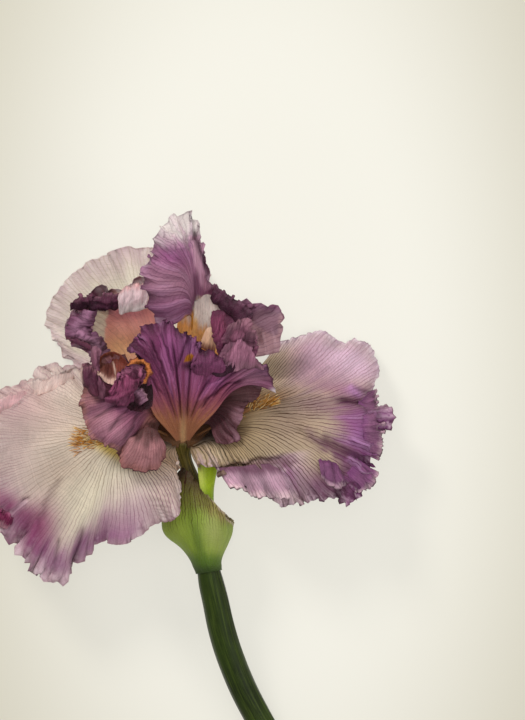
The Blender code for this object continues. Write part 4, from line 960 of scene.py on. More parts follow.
# ---------------------------------------------------------------- standards
def standard_front():
    f = Sheet("standard_front", 204, 94)
    start = f.p.copy()
    f.pleats(1.2, 7.0, 101, 0.15, 0.7)
    f.pleats(0.6, 3.4, 102, 0.3, 0.9)
    f.axes()
    right = smooth(f.u, 0.72, 0.80)
    f.notch(1.8, 3.4, 109, 6.0, where=1 - 0.8 * right)
    f.ruffle(1.9, 11.0, 9.0, 103, roll=0.6, where=1 - 0.5 * right)
    f.ruffle(1.5, 5.2, 6.5, 104, roll=0.9, where=0.7 + 0.3 * right)
    f.ruffle(0.9, 2.9, 4.0, 107, roll=1.0, where=1 - 0.4 * right)
    f.ruffle(0.5, 1.8, 2.4, 100, roll=1.0)
    dark = f.fold([(181, 425), (179, 395), (176, 365), (171, 335)], 1.5, -1.5)
    dark = np.maximum(dark, 0.8 * f.fold([(186, 425), (188, 395), (190, 372), (192, 356)], 1.7, -1.6))
    dark = np.maximum(dark, 0.6 * f.fold([(178, 425), (168, 395), (158, 365), (148, 345)], 1.7, -1.2))
    dark = np.maximum(dark, 0.6 * f.fold([(188, 424), (196, 404), (204, 388), (212, 376)], 1.8, -1.3))
    dark = np.maximum(dark, 0.5 * f.fold([(176, 372), (183, 352), (188, 338)], 1.6, -1.2))
    dark = np.maximum(dark, 0.9 * f.fold([(170, 392), (163, 370), (155, 350), (150, 336)], 1.3, -1.0, wander=1.5, seed=141))
    dark = np.maximum(dark, 0.8 * f.fold([(174, 380), (170, 360), (164, 340), (160, 328)], 1.3, -1.0, wander=1.5, seed=142))
    dark = np.maximum(dark, 0.7 * f.fold([(164, 398), (152, 380), (141, 366)], 1.4, -1.0, wander=1.5, seed=143))
    dark = np.maximum(dark, 0.8 * f.fold([(196, 412), (210, 396), (228, 384), (248, 378)], 1.5, -1.2, wander=1.5, seed=144))
    light = np.maximum(f.fold([(173, 400), (167, 372), (160, 346)], 1.5, 0.7, wander=1.2, seed=145), f.fold([(196, 404), (208, 388), (226, 376)], 1.8, 0.9, wander=1.2, seed=146))
    f.lace(0.55, 1.7, 105, cut=0.8)
    a, b = f.drawn()
    rise = relief_shade(f, start, 1.8)
    grain = fbm2(f.u * 34, f.along / 18, 106, 4)
    streak = streaks(f, 99, 44.0, 30.0)
    tint = np.broadcast_to(srgb(150, 76, 112), f.p.shape).copy()
    tint = mix(tint, srgb(124, 56, 102), 0.7 * smooth(b, 385, 345))
    tint = mix(tint, srgb(172, 92, 150), 0.8 * blob(a, b, (213, 385), (22, 8), -35))
    tint = mix(tint, srgb(164, 92, 146), 0.65 * blob(a, b, (170, 350), (10, 26), -6))
    tint = mix(tint, srgb(176, 128, 150), 0.85 * blob(a, b, (256, 376), (24, 16)))
    tint = mix(tint, srgb(104, 58, 104), 0.6 * blob(a, b, (190, 345), (9, 14), 0))
    tint = mix(tint, PLUM, 0.75 * blob(a, b, (142, 354), (18, 12)))
    tint = mix(tint, srgb(168, 96, 104), 0.75 * smooth(b + 9 * grain, 378, 405))
    tint = mix(tint, srgb(170, 116, 82), 0.9 * smooth(b + 9 * grain + 3 * streak, 396, 424))
    tint = mix(tint, srgb(214, 180, 134), 0.7 * blob(a, b, (183, 434), (3, 18), 0))
    tint = mix(tint, srgb(196, 128, 178), 0.5 * np.clip(streak, 0, 1) * smooth(b, 410, 380))
    tint = mix(tint, srgb(70, 20, 54), 0.7 * np.clip(-streak, 0, 1) * smooth(b, 420, 390))
    # painted highlight along the raised folds
    tint = mix(tint, srgb(200, 130, 180), 0.5 * light * smooth(b, 410, 390))
    # painted shade in the creases of the folds
    tint = mix(tint, srgb(58, 16, 42), 0.65 * dark * smooth(b, 430, 400))
    tint = mix(tint, WINE, 0.85 * blob(a, b, (188, 366), (7, 4), 0))
    tint = mix(tint, srgb(192, 124, 30), 0.95 * within(a, b, [(184, 362), (186, 356), (191, 353), (194, 356), (191, 361)], 0.8))
    # painted shade in the hollows of the ruffles
    tint = mix(tint, PLUM * 0.7, 0.8 * np.clip(-rise, 0, 1) * smooth(f.t, 22, 5))
    tint = mix(tint, PLUM, 0.4 * smooth(b, 340, 326))
    tint = f.frills(tint, srgb(176, 128, 166), srgb(44, 12, 38), 1.2, 5.0, 98, 0.8, 1 - 0.5 * right)
    tint = rim_line(f, tint, WINE, 0.7, 1.0)
    tint = mix(tint, srgb(236, 226, 230), 0.9 * blob(a, b, (274, 392), (4, 4), 0))
    tint = tint * (1 + 0.20 * grain[..., None])
    vein = mix(np.broadcast_to(srgb(62, 20, 50), tint.shape), srgb(110, 52, 40), smooth(b, 395, 420))
    veining = 0.45 - 0.2 * smooth(b, 395, 425)
    return f.build(petal_material("standard_front_skin", 14, width=0.17, wobble=0.9, through=0.36, relief=0.3, spread=1.5), tint, vein, veining)


def standard_left():
    f = Sheet("standard_left", 150, 74)
    start = f.p.copy()
    f.pleats(0.7, 8.0, 111, 0.2, 0.8)
    f.axes()
    f.notch(1.6, 4.0, 118, 5.0)
    f.ruffle(2.6, 12.0, 9.0, 112, roll=0.7)
    f.ruffle(1.8, 5.5, 6.0, 113, roll=0.9)
    f.ruffle(0.9, 3.0, 3.5, 117, roll=1.0)
    f.lace(0.55, 1.8, 114, cut=0.6)
    a, b = f.drawn()
    rise = relief_shade(f, start, 2.0)
    grain = fbm2(f.u * 30, f.along / 18, 115, 4)
    tint = np.broadcast_to(srgb(226, 176, 168), f.p.shape).copy()
    tint = mix(tint, srgb(246, 212, 168), 0.8 * blob(a, b, (120, 350), (24, 16)))
    tint = mix(tint, srgb(196, 140, 160), 0.6 * blob(a, b, (128, 312), (26, 8)))
    # the whitish top, painted whiter still as painted light lifting the shadow of the right standard's lobe
    tint = mix(tint, srgb(246, 234, 234), 0.95 * within(a, b, [(116, 276), (150, 276), (150, 300), (140, 309), (132, 303), (124, 313), (118, 306)], 1.6, 2.0, 119))
    # painted shade in the hollows of the ruffles
    tint = mix(tint, tint * 0.6, 0.7 * np.clip(-rise, 0, 1) * smooth(f.t, 12, 3))
    tint = mix(tint, PLUM, 0.9 * smooth(f.t + 4 * grain, 12, 5) * (1 - smooth(a, 108, 120)) * smooth(b, 326, 312))
    tint = mix(tint, srgb(176, 128, 160), 0.9 * smooth(a, 102, 94) * smooth(b, 306, 316))
    tint = mix(tint, srgb(226, 218, 204), 0.95 * within(a, b, [(96, 311), (108, 311), (106, 322), (105, 340), (99, 342), (92, 334), (93, 322)], 1.0, 1.2, 116))
    tint = f.frills(tint, srgb(238, 226, 230), srgb(110, 62, 88), 1.4, 5.0, 120, 0.6)
    tint = rim_line(f, tint, PLUM, 0.5, 1.0)
    tint = tint * (1 + 0.12 * grain[..., None])
    vein = np.broadcast_to(srgb(150, 84, 92), tint.shape)
    veining = 0.26 + 0.2 * smooth(f.t, 20, 6)
    return f.build(petal_material("standard_left_skin", 12, width=0.17, wobble=0.8, through=0.6, spread=1.6), tint, vein, veining)


def standard_right():
    f = Sheet("standard_right", 220, 100)
    start = f.p.copy()
    f.pleats(0.6, 8.0, 121, 0.3, 0.85)
    f.pleats(0.25, 3.4, 126, 0.4, 0.9)
    f.axes()
    lobe = 1 - smooth(f.u, 0.5, 0.62)
    f.notch(1.0, 3.0, 129, 3.5)
    edge = smooth(f.u, 0.56, 0.62) * (1 - smooth(f.u, 0.70, 0.76))    # the smoother strip right of the tall lobe
    f.ruffle(2.0, 13.0, 12.0, 122, roll=0.6, where=(0.5 + 0.5 * lobe) * (1 - 0.7 * edge))
    f.ruffle(1.6, 6.0, 7.0, 123, roll=0.9, where=1 - 0.75 * edge)
    f.ruffle(0.9, 3.0, 4.0, 127, roll=1.0, where=1 - 0.7 * edge)
    dark = f.fold([(192, 226), (197, 244), (204, 262), (212, 284)], 2.6, -1.6)
    dark = np.maximum(dark, 0.9 * f.fold([(195, 270), (196, 290), (192, 312)], 2.6, -1.6))
    dark = np.maximum(dark, 0.8 * f.fold([(222, 292), (236, 304), (256, 326)], 3.6, -1.6))
    f.fold([(188, 246), (176, 250), (160, 248)], 1.8, 0.5, step=0.9, wander=1.5, seed=131)
    f.fold([(262, 330), (266, 345), (268, 362)], 1.6, 0.4, step=1.2, wander=1.2, seed=132)
    f.fold([(272, 326), (275, 342), (276, 356)], 1.4, 0.4, step=0.9, wander=1.0, seed=133)
    crumpled = np.maximum(blob(*f.drawn(), (236, 338), (26, 22), 20), 0.8 * blob(*f.drawn(), (176, 240), (24, 18), 0))
    f.crumple(1.3, 5.0, 128, where=crumpled)
    f.lace(0.6, 1.8, 124, cut=0.65)
    a, b = f.drawn()
    rise = relief_shade(f, start, 2.0)
    grain = fbm2(f.u * 34, f.along / 18, 125, 4)
    streak = streaks(f, 130, 50.0, 16.0)
    tint = np.broadcast_to(srgb(174, 120, 150), f.p.shape).copy()
    tint = mix(tint, srgb(248, 242, 240), 0.93 * smooth(b + 9 * grain + 7 * streak, 262, 228) * smooth(a, 206, 196))
    tint = mix(tint, srgb(168, 96, 154), 0.7 * lobe * blob(a, b, (172, 254), (24, 12), 0))
    tint = mix(tint, srgb(188, 146, 164), 0.7 * lobe * blob(a, b, (166, 284), (26, 16), 0))
    tint = mix(tint, srgb(126, 74, 108), 0.75 * lobe * smooth(b, 290, 314))
    tint = mix(tint, srgb(212, 168, 204), 0.45 * lobe * np.clip(streak, 0, 1))
    tint = mix(tint, srgb(100, 48, 86), 0.45 * lobe * np.clip(-streak, 0, 1) * smooth(b, 236, 262))
    # the mauve strip right of the tall lobe, painted lighter as painted light where its steep face turns from the lamps
    tint = mix(tint, srgb(228, 184, 206), 0.9 * within(a, b, [(190, 236), (200, 234), (212, 262), (218, 284), (204, 290), (196, 270), (192, 250)], 2.5, 2.0, 139))
    tint = mix(tint, PLUM * 0.9, 0.9 * within(a, b, [(214, 288), (228, 296), (246, 304), (256, 316), (250, 326), (232, 318), (214, 302)], 3.0, 2.0, 140))
    tint = mix(tint, srgb(198, 164, 168), 0.85 * within(a, b, [(246, 322), (258, 308), (284, 312), (290, 370), (254, 374)], 3.0, 2.0, 134))
    tint = mix(tint, srgb(132, 96, 120), 0.6 * within(a, b, [(246, 314), (262, 302), (282, 310), (278, 334), (262, 330)], 3.0, 2.0, 135))
    tint = mix(tint, srgb(168, 100, 130), 0.7 * blob(a, b, (234, 342), (14, 18), 0))
    tint = mix(tint, srgb(250, 238, 218), 0.95 * within(a, b, [(197, 298), (204, 296), (214, 299), (217, 318), (208, 332), (202, 330), (196, 316), (192, 308)], 1.6, 1.6, 136))
    tint = mix(tint, srgb(240, 182, 92), 0.95 * within(a, b, [(180, 322), (192, 312), (200, 330), (206, 338), (204, 352), (190, 356)], 2.0, 1.5, 137))
    tint = mix(tint, srgb(196, 132, 80), 0.75 * smooth(f.along, 46, 18))
    # painted shade in the creases of the folds
    tint = mix(tint, PLUM, 0.6 * dark)
    # painted shade in the hollows of the ruffles
    tint = mix(tint, tint * 0.6, 0.6 * np.clip(-rise, 0, 1) * smooth(f.t, 20, 5))
    tint = f.frills(tint, srgb(222, 196, 214), srgb(74, 28, 62), 1.3, 4.0, 138, 0.6, smooth(b, 232, 250) * (0.4 + 0.6 * lobe))
    tint = rim_line(f, tint, PLUM, 0.6, 1.0)
    tint = tint * (1 + 0.16 * grain[..., None])
    vein = np.broadcast_to(srgb(92, 40, 76), tint.shape)
    veining = 0.42 + 0.1 * lobe - 0.3 * smooth(b, 245, 225)
    return f.build(petal_material("standard_right_skin", 16, width=0.17, wobble=0.8, through=0.45, spread=1.35, relief=0.25), tint, vein, veining)


# ---------------------------------------------------------------- style arms
def style_arm(name, across, along, seed, base, far, near_tip, first=10, extra=None, lines=()):
    f = Sheet(name, across, along)
    start = f.p.copy()
    f.pleats(0.4, 4.0, seed)
    f.axes()
    f.notch(1.0, 4.0, seed + 6, 3.0)
    f.ruffle(0.9, 7.0, 6.0, seed + 1, roll=0.6)
    f.ruffle(0.6, 3.2, 3.5, seed + 2, roll=0.9)
    f.ruffle(0.35, 1.7, 2.2, seed + 7, roll=1.0)
    dark = np.zeros(f.u.shape)
    for k, line in enumerate(lines):
        dark = np.maximum(dark, f.fold(line, 1.7, -1.0, wander=1.5, seed=seed + 60 + k))
    f.lace(0.25, 1.3, seed + 3, cut=0.35, depth=1.6)
    grain = fbm2(f.u * 26, f.along / 14, seed + 4, 4)
    streak = streaks(f, seed + 9, 46.0, 14.0)
    rise = relief_shade(f, start, 1.0)
    tint = np.broadcast_to(base, f.p.shape).copy()
    tint = mix(tint, far, 0.8 * smooth(f.t + 2 * grain, 12, 2))
    tint = mix(tint, near_tip, 0.8 * smooth(f.along, 20, 7))
    if extra:
        tint = extra(f, tint, grain)
    tint = mix(tint, tint * 1.3 + 0.02, 0.6 * np.clip(streak, 0, 1))
    tint = mix(tint, tint * 0.6, 0.7 * np.clip(-streak, 0, 1))
    # painted shade in the creases of the folds
    tint = mix(tint, tint * 0.45, 0.8 * dark)
    # painted shade in the hollows of the ruffles
    tint = mix(tint, tint * 0.55, 0.7 * np.clip(-rise, 0, 1) * smooth(f.t, 9, 2))
    tint = f.frills(tint, srgb(196, 152, 170), srgb(74, 32, 46), 1.3, 3.0, seed + 8, 0.5)
    tint = rim_line(f, tint, srgb(84, 38, 42), 0.7, 0.8)
    tint = tint * (1 + 0.18 * grain[..., None])
    vein = np.broadcast_to(srgb(84, 36, 58), tint.shape)
    return f.build(petal_material(name + "_skin", first, width=0.14, wobble=0.5, through=0.35, spread=1.0, relief=0.2), tint, vein, np.full(f.u.shape, 0.42))


def left_arm_tint_and_shade(f, tint, grain):
    a, b = f.drawn()
    tint = mix(tint, srgb(196, 136, 140), 0.8 * blob(a, b, (90, 402), (14, 24), 0))
    tint = mix(tint, srgb(188, 140, 154), 0.7 * blob(a, b, (106, 424), (24, 12), 40))
    tint = mix(tint, srgb(196, 140, 126), 0.6 * smooth(f.t + 1.5 * grain, 3.2, 1.0))
    tint = mix(tint, srgb(116, 64, 96), 0.6 * within(a, b, [(88, 408), (108, 396), (134, 402), (146, 416), (128, 414), (104, 410), (86, 418)], 3.0, 2.0, 206))
    tint = mix(tint, srgb(176, 122, 122), 0.9 * smooth(f.u + 0.02 * grain, 0.32, 0.26))
    tint = mix(tint, srgb(110, 62, 50), 0.6 * smooth(f.u + 0.02 * grain, 0.32, 0.26) * smooth(f.t + grain, 2.4, 0.8))
    tint = mix(tint, srgb(92, 44, 40), 0.8 * blob(a, b, (146, 434), (10, 6), -30))
    tint = mix(tint, srgb(136, 84, 62), 0.8 * blob(a, b, (156, 414), (11, 12), 0))
    # painted shade: the dark umber hollow by the left fall's haft, painted onto the arm
    tint = mix(tint, UMBER, 0.85 * within(a, b, [(146, 424), (158, 420), (174, 430), (180, 446), (160, 446), (150, 436)], 2.5, 1.5, 207))
    # painted shade of the dark cavity among the crest's pieces
    tint = mix(tint, WINE, 0.85 * within(a, b, [(126, 386), (146, 380), (152, 402), (140, 412), (128, 402)], 3.0, 2.0, 208))
    return tint


def right_arm_tint_and_shade(f, tint, grain):
    a, b = f.drawn()
    # painted shade of the hollow under the front standard's right half
    tint = mix(tint, WINE, 0.7 * blob(a, b, (214, 410), (10, 16), 0))
    tint = mix(tint, WINE, 0.55 * blob(a, b, (226, 428), (8, 12), 0))
    return mix(tint, srgb(116, 84, 84), 0.7 * blob(a, b, (244, 396), (16, 8), -14))


# ---------------------------------------------------------------- crests, curls and folds of the petals' inner parts
def inner(name, veins, across, along, seed, base, edge, back, ruffles=(), creases=None, cut=0.3, first=6, through=0.35, paint=None,
          veining=0.4, vein=(70, 26, 48), calm=2.0, line=0.55, shade=0.8):
    """A small sheet of its own: each vein is its points from base to margin; base, edge and back are display colours."""
    PETALS[name] = ([v[1:] for v in veins], [v[0] for v in veins])
    WAVES[name] = (0.0, 0.5, ((1.0, 0.0, 1.0),))
    f = Sheet(name, across, along)
    start = f.p.copy()
    for k, (height, pitch, depth, roll) in enumerate(ruffles):
        f.ruffle(height, pitch, depth, seed + 10 * k, roll=roll, reach=calm)
    if creases:
        f.crumple(creases[0], creases[1], seed + 3)
    f.lace(0.25, 1.3, seed + 4, cut=cut, depth=1.6)
    rise = relief_shade(f, start, 0.9)
    grain = fbm2(f.u * 14, f.along / 8, seed + 5, 4)
    streak = streaks(f, seed + 7, 26.0, 9.0)
    tint = np.broadcast_to(srgb(*base), f.p.shape).copy()
    tint = mix(tint, srgb(*back), 0.85 * smooth(f.v + 0.15 * grain, 0.45, 0.1))
    tint = mix(tint, srgb(*edge), 0.85 * smooth(f.v + 0.1 * grain, 0.72, 0.98))
    # painted shade in the hollows and painted highlight on the crests of the ruffles, both scaled by shade
    tint = mix(tint, tint * 0.45, shade * np.clip(-rise, 0, 1))
    tint = mix(tint, tint * 1.45 + 0.01, 0.6 * shade * np.clip(rise, 0, 1))
    tint = mix(tint, tint * 0.6, 0.6 * shade * np.clip(-streak, 0, 1))
    if paint:
        tint = paint(f, tint, grain)
    tint = rim_line(f, tint, srgb(60, 22, 36), line, 0.7, seed)
    tint = np.clip(tint * (1 + 0.2 * grain[..., None]), 0, 1)
    return f.build(petal_material(name + "_skin", first, width=0.13, wobble=0.5, through=through, spread=1.0, relief=0.25), tint,
                   np.broadcast_to(srgb(*vein), tint.shape), np.full(f.u.shape, veining), thickness=0.26, rim=0.18, own=False)


def cup_paint(f, tint, grain):
    a, b = f.drawn()
    tint = mix(tint, srgb(232, 200, 186), 0.95 * smooth(f.v + 0.06 * grain, 0.83, 0.92))
    tint = mix(tint, srgb(150, 72, 60), 0.6 * blob(a, b, (120, 366), (8, 10), 20))
    tint = mix(tint, srgb(84, 34, 34), 0.6 * within(a, b, [(104, 358), (111, 356), (112, 368), (109, 378), (105, 370)], 1.6, 1.6, 502))
    # a narrow painted highlight inside the cup
    tint = mix(tint, srgb(236, 206, 190), 0.8 * within(a, b, [(112, 360), (113.5, 360), (115.5, 369), (116, 374), (114.5, 372), (113, 366)], 0.5, 2.4, 501))
    return tint


def crests():
    inner("crest_cup", [
        [(97, 360, 58.5), (95.5, 367, 59.0), (98, 374, 62.5)],
        [(103, 355, 58.5), (102.5, 365, 56.8), (102, 379, 63)],
        [(111, 352, 58.5), (111, 365, 55.8), (109, 384, 63.5)],
        [(119, 354, 58.5), (118.5, 366, 56), (118, 384, 64)],
        [(126, 361, 59), (125, 369, 58), (124, 380, 64)],
        [(130, 367, 60), (129, 371, 60.5), (128, 374, 63.5)]],
        52, 29, 511, (122, 72, 62), (214, 170, 160), (128, 66, 52), ((0.5, 4.0, 4.0, 0.8),), (0.35, 3.0), paint=cup_paint, veining=0.5, vein=(70, 28, 20))
    loop = []
    for q in np.linspace(195, -75, 11):
        c, s = math.cos(math.radians(q)), math.sin(math.radians(q))
        loop.append([(139 + 6.0 * c, 371 - 6.0 * s, 57.5), (139 + 9.5 * c, 371 - 10 * s, 62), (139.5 + 12.5 * c, 371 - 13.5 * s, 59.5)])
    inner("crest_loop", loop, 67, 20, 521, (216, 138, 84), (122, 62, 66), (112, 46, 30), ((0.6, 3.0, 3.0, 0.9),), (0.4, 2.6), veining=0.55, vein=(110, 40, 20))
    inner("crest_fold", [
        [(106, 401, 60.5), (112, 390, 62.5), (118, 381, 64.3)],
        [(113, 405, 62), (118, 390, 64.8), (121, 372, 65.8)],
        [(122, 406, 62.2), (126, 389, 65.5), (128, 366, 66.8)],
        [(131, 404, 60.8), (134, 388, 64.5), (138, 366, 66)],
        [(137, 399, 58.5), (141, 386, 61.5), (146, 372, 63.5)]],
        67, 46, 531, (150, 76, 110), (158, 98, 124), (118, 60, 88), ((1.2, 5.0, 12.0, 1.0), (0.8, 2.6, 8.0, 1.0)), (1.1, 4.0), cut=0.6,
        # the dark blob is painted shade of the cavity beside the crest
        paint=lambda f, tint, grain: mix(tint, srgb(48, 14, 24), 0.7 * blob(*f.drawn(), (139, 386), (6, 7))))
    inner("crest_wedge", [
        [(92, 394, 58.5), (81, 381, 60.5), (82, 365, 61.5)],
        [(94, 395, 60.5), (86, 379, 63), (86, 363, 63.5)],
        [(97, 396, 60.5), (92, 380, 62.5), (91, 365, 62.5)],
        [(99, 394, 59), (97, 382, 60.5), (96, 370, 61.5)]],
        44, 32, 541, (92, 44, 66), (158, 108, 120), (100, 50, 68), ((0.6, 4.0, 5.0, 0.9),), (0.6, 3.2),
        # the pale left edge is a painted highlight on the wedge
        paint=lambda f, tint, grain: mix(tint, srgb(226, 196, 190), 0.9 * smooth(f.u + 0.05 * grain, 0.2, 0.08) * smooth(f.v, 0.35, 0.5)))
    inner("crest_side", [
        [(98, 398, 58), (97, 384, 60), (92, 366, 59), (90, 350, 58)],
        [(102, 399, 59), (101, 384, 61), (96, 364, 60.5), (96, 346, 59)],
        [(106, 398, 58.5), (104, 386, 60), (99, 368, 59), (102, 352, 58)]],
        37, 41, 551, (128, 80, 100), (150, 104, 122), (118, 70, 88), ((0.8, 4.0, 6.0, 0.9),), (0.6, 3.4))
    inner("crest_flap", [
        [(129, 393, 59.5), (133, 389, 62), (138, 387, 62)],
        [(133, 399, 59.5), (140, 394, 63), (145, 391, 62.5)],
        [(139, 407, 58.5), (144, 403, 62), (148, 400, 61)]],
        33, 20, 561, (150, 108, 130), (176, 136, 150), (70, 24, 40), ((0.5, 3.0, 3.0, 0.9),), (0.4, 2.4))
    # a dark sheet of painted shade filling the cavity among the left crest's pieces
    inner("cavity_shade_sheet", [
        [(126, 394, 56), (128, 400, 57.5), (126, 407, 58)],
        [(136, 388, 56), (137, 400, 55.5), (135, 412, 58)],
        [(146, 382, 57), (148, 396, 57), (145, 410, 57.5)],
        [(150, 380, 57.5), (153, 394, 57.5), (152, 406, 57)]],
        37, 23, 571, (48, 16, 26), (70, 30, 42), (40, 12, 18), ((0.6, 4.0, 6.0, 0.9),), (0.5, 3.0))


def ribbons():
    inner("standard_left_roll", [
        [(71, 309, 34), (70, 303, 37), (73, 298, 35)],
        [(80, 311, 34.5), (79, 303, 38.5), (81, 296, 36)],
        [(92, 311, 34.5), (92, 302, 39.5), (93, 294, 36.5)],
        [(104, 311, 34.5), (105, 302, 39.5), (106, 294, 36.5)],
        [(113, 309, 34), (115, 302, 38.5), (117, 294, 36)],
        [(119, 306, 33.5), (121, 301, 36), (121, 296, 35)]],
        89, 29, 601, (92, 44, 68), (138, 90, 110), (66, 28, 50), ((0.9, 6.0, 8.0, 1.0), (0.4, 2.4, 3.0, 1.0)), (1.6, 4.0), cut=0.7)
    inner("standard_left_ribbon", [
        [(97, 309, 34), (91, 311, 36.5), (84, 309, 35)],
        [(94, 318, 34), (87, 318, 37), (80, 314, 35.5)],
        [(92, 326, 34), (80, 325, 38), (70, 321, 36)],
        [(93, 333, 34), (79, 331, 38.5), (65, 329, 36)],
        [(99, 337, 35), (86, 336, 39.5), (74, 337, 37)],
        [(106, 342, 37), (97, 342, 41.5), (87, 344, 39)],
        [(108, 351, 40), (100, 351, 45), (90, 352, 43)],
        [(102, 362, 46), (97, 361, 50), (89, 361, 48)]],
        111, 26, 611, (162, 116, 144), (110, 62, 90), (140, 96, 124), ((0.8, 6.0, 6.0, 1.0), (0.4, 2.6, 3.0, 1.0)), (1.2, 4.0), cut=0.7,
        paint=lambda f, tint, grain: mix(tint, srgb(116, 82, 98), 0.7 * smooth(f.u, 0.55, 0.7)))
    inner("standard_front_curl", [
        [(192, 374, 60.5), (191, 367, 62.3), (193, 360, 61.5)],
        [(199, 376, 61), (199, 364, 64), (199, 354, 62.8)],
        [(208, 376, 61), (209, 362, 64.8), (209, 350, 63.5)],
        [(217, 374, 61), (218, 364, 64.2), (218, 354, 63.2)],
        [(227, 372, 60.5), (226, 367, 63), (225, 361, 62.5)]],
        62, 29, 621, (118, 62, 96), (82, 36, 62), (136, 70, 108), ((0.6, 5.5, 5.0, 0.8), (0.3, 2.4, 2.0, 1.0)), (0.9, 4.5), cut=0.4)
    # its dark colours are painted shade in the pits
    inner("standard_front_pit", [
        [(212, 374, 61.5), (214, 370, 62.2), (219, 365, 63)],
        [(219, 377, 61.5), (221, 371, 62), (225, 366, 63.5)],
        [(228, 374, 61.5), (230, 368, 63), (232, 361, 64)],
        [(234, 370, 61.5), (236, 365, 62.5), (238, 360, 63)]],
        44, 20, 631, (64, 24, 48), (176, 126, 150), (48, 14, 34), ((0.7, 3.0, 4.0, 1.0),), (0.5, 2.6), cut=0.5)
    inner("standard_right_strip", [
        [(220, 357, 54), (214, 342, 56.5), (211, 326, 55), (212, 312, 53)],
        [(224, 358, 56), (220, 340, 59.5), (217, 324, 58), (217, 309, 55)],
        [(229, 356, 55), (227, 338, 58), (224, 324, 56.5), (225, 312, 54)]],
        44, 49, 641, (134, 66, 96), (112, 56, 84), (120, 60, 92), ((0.7, 4.0, 5.0, 0.9),), (0.7, 4.5))
    inner("standard_right_claw", [
        [(200, 346, 50), (202, 339, 51), (206, 329, 51)],
        [(206, 350, 51), (208, 340, 53), (211, 326, 52)],
        [(215, 352, 51), (216, 341, 52), (217, 328, 51.5)]],
        44, 29, 651, (224, 186, 158), (236, 206, 184), (150, 90, 76), ((0.25, 2.4, 3.0, 0.8),), None, veining=1.0, vein=(110, 44, 40), first=12, shade=0.4)
    inner("standard_right_frill_low", [
        [(220, 366, 60), (219, 354, 61.5), (224, 343, 60.5)],
        [(228, 368, 60.5), (230, 355, 63.5), (233, 340, 61.5)],
        [(240, 369, 60.5), (241, 356, 64), (243, 341, 62)],
        [(252, 369, 60), (252, 359, 62.5), (251, 350, 61)],
        [(264, 370, 57.5), (262, 365, 58.5), (258, 359, 58)]],
        81, 49, 661, (150, 100, 122), (164, 112, 136), (160, 116, 134), ((0.8, 7.0, 9.0, 0.8), (0.4, 2.8, 2.5, 1.0)), (1.2, 5.5), cut=0.5, line=0.5)
    inner("standard_right_frill_top", [
        [(216, 352, 55), (221, 338, 58.5), (228, 324, 57.5)],
        [(224, 356, 57), (230, 339, 61), (235, 319, 58.5)],
        [(235, 358, 58), (240, 340, 61.5), (244, 320, 58.5)],
        [(246, 358, 57.5), (250, 343, 60.5), (253, 328, 57.5)],
        [(255, 358, 56.5), (258, 348, 58.5), (259, 338, 56.5)]],
        81, 52, 671, (126, 76, 98), (170, 122, 138), (112, 58, 84), ((0.8, 7.0, 9.0, 0.8), (0.4, 2.8, 2.5, 1.0)), (1.8, 6.0), cut=0.5)
    inner("standard_right_band", [
        [(210, 298, 39), (213, 291, 40.5), (216, 284, 39.5)],
        [(220, 308, 39), (224, 301, 41), (229, 294, 39.5)],
        [(232, 318, 40), (237, 310, 42), (242, 302, 40)],
        [(244, 328, 40), (250, 321, 41.5), (255, 313, 40)]],
        59, 26, 681, (86, 44, 66), (124, 82, 104), (60, 24, 44), ((0.7, 6.0, 5.0, 0.8), (0.4, 2.6, 2.5, 1.0)), (1.2, 4.5), cut=0.4)


def riding(name, veins):
    """Veins whose heights are given in mm above the petal called name, found at the nearest point of its surface."""
    p = surface(name, np.linspace(0, 1, 200), np.linspace(0.3, 1, 160)).reshape(-1, 3)
    a, b = drawing(p)
    near = lambda x, y: p[np.argmin((a - x) ** 2 + (b - y) ** 2), 2]
    return [[(x, y, max(0.8, near(x, y) + lift)) for x, y, lift in vein] for vein in veins]


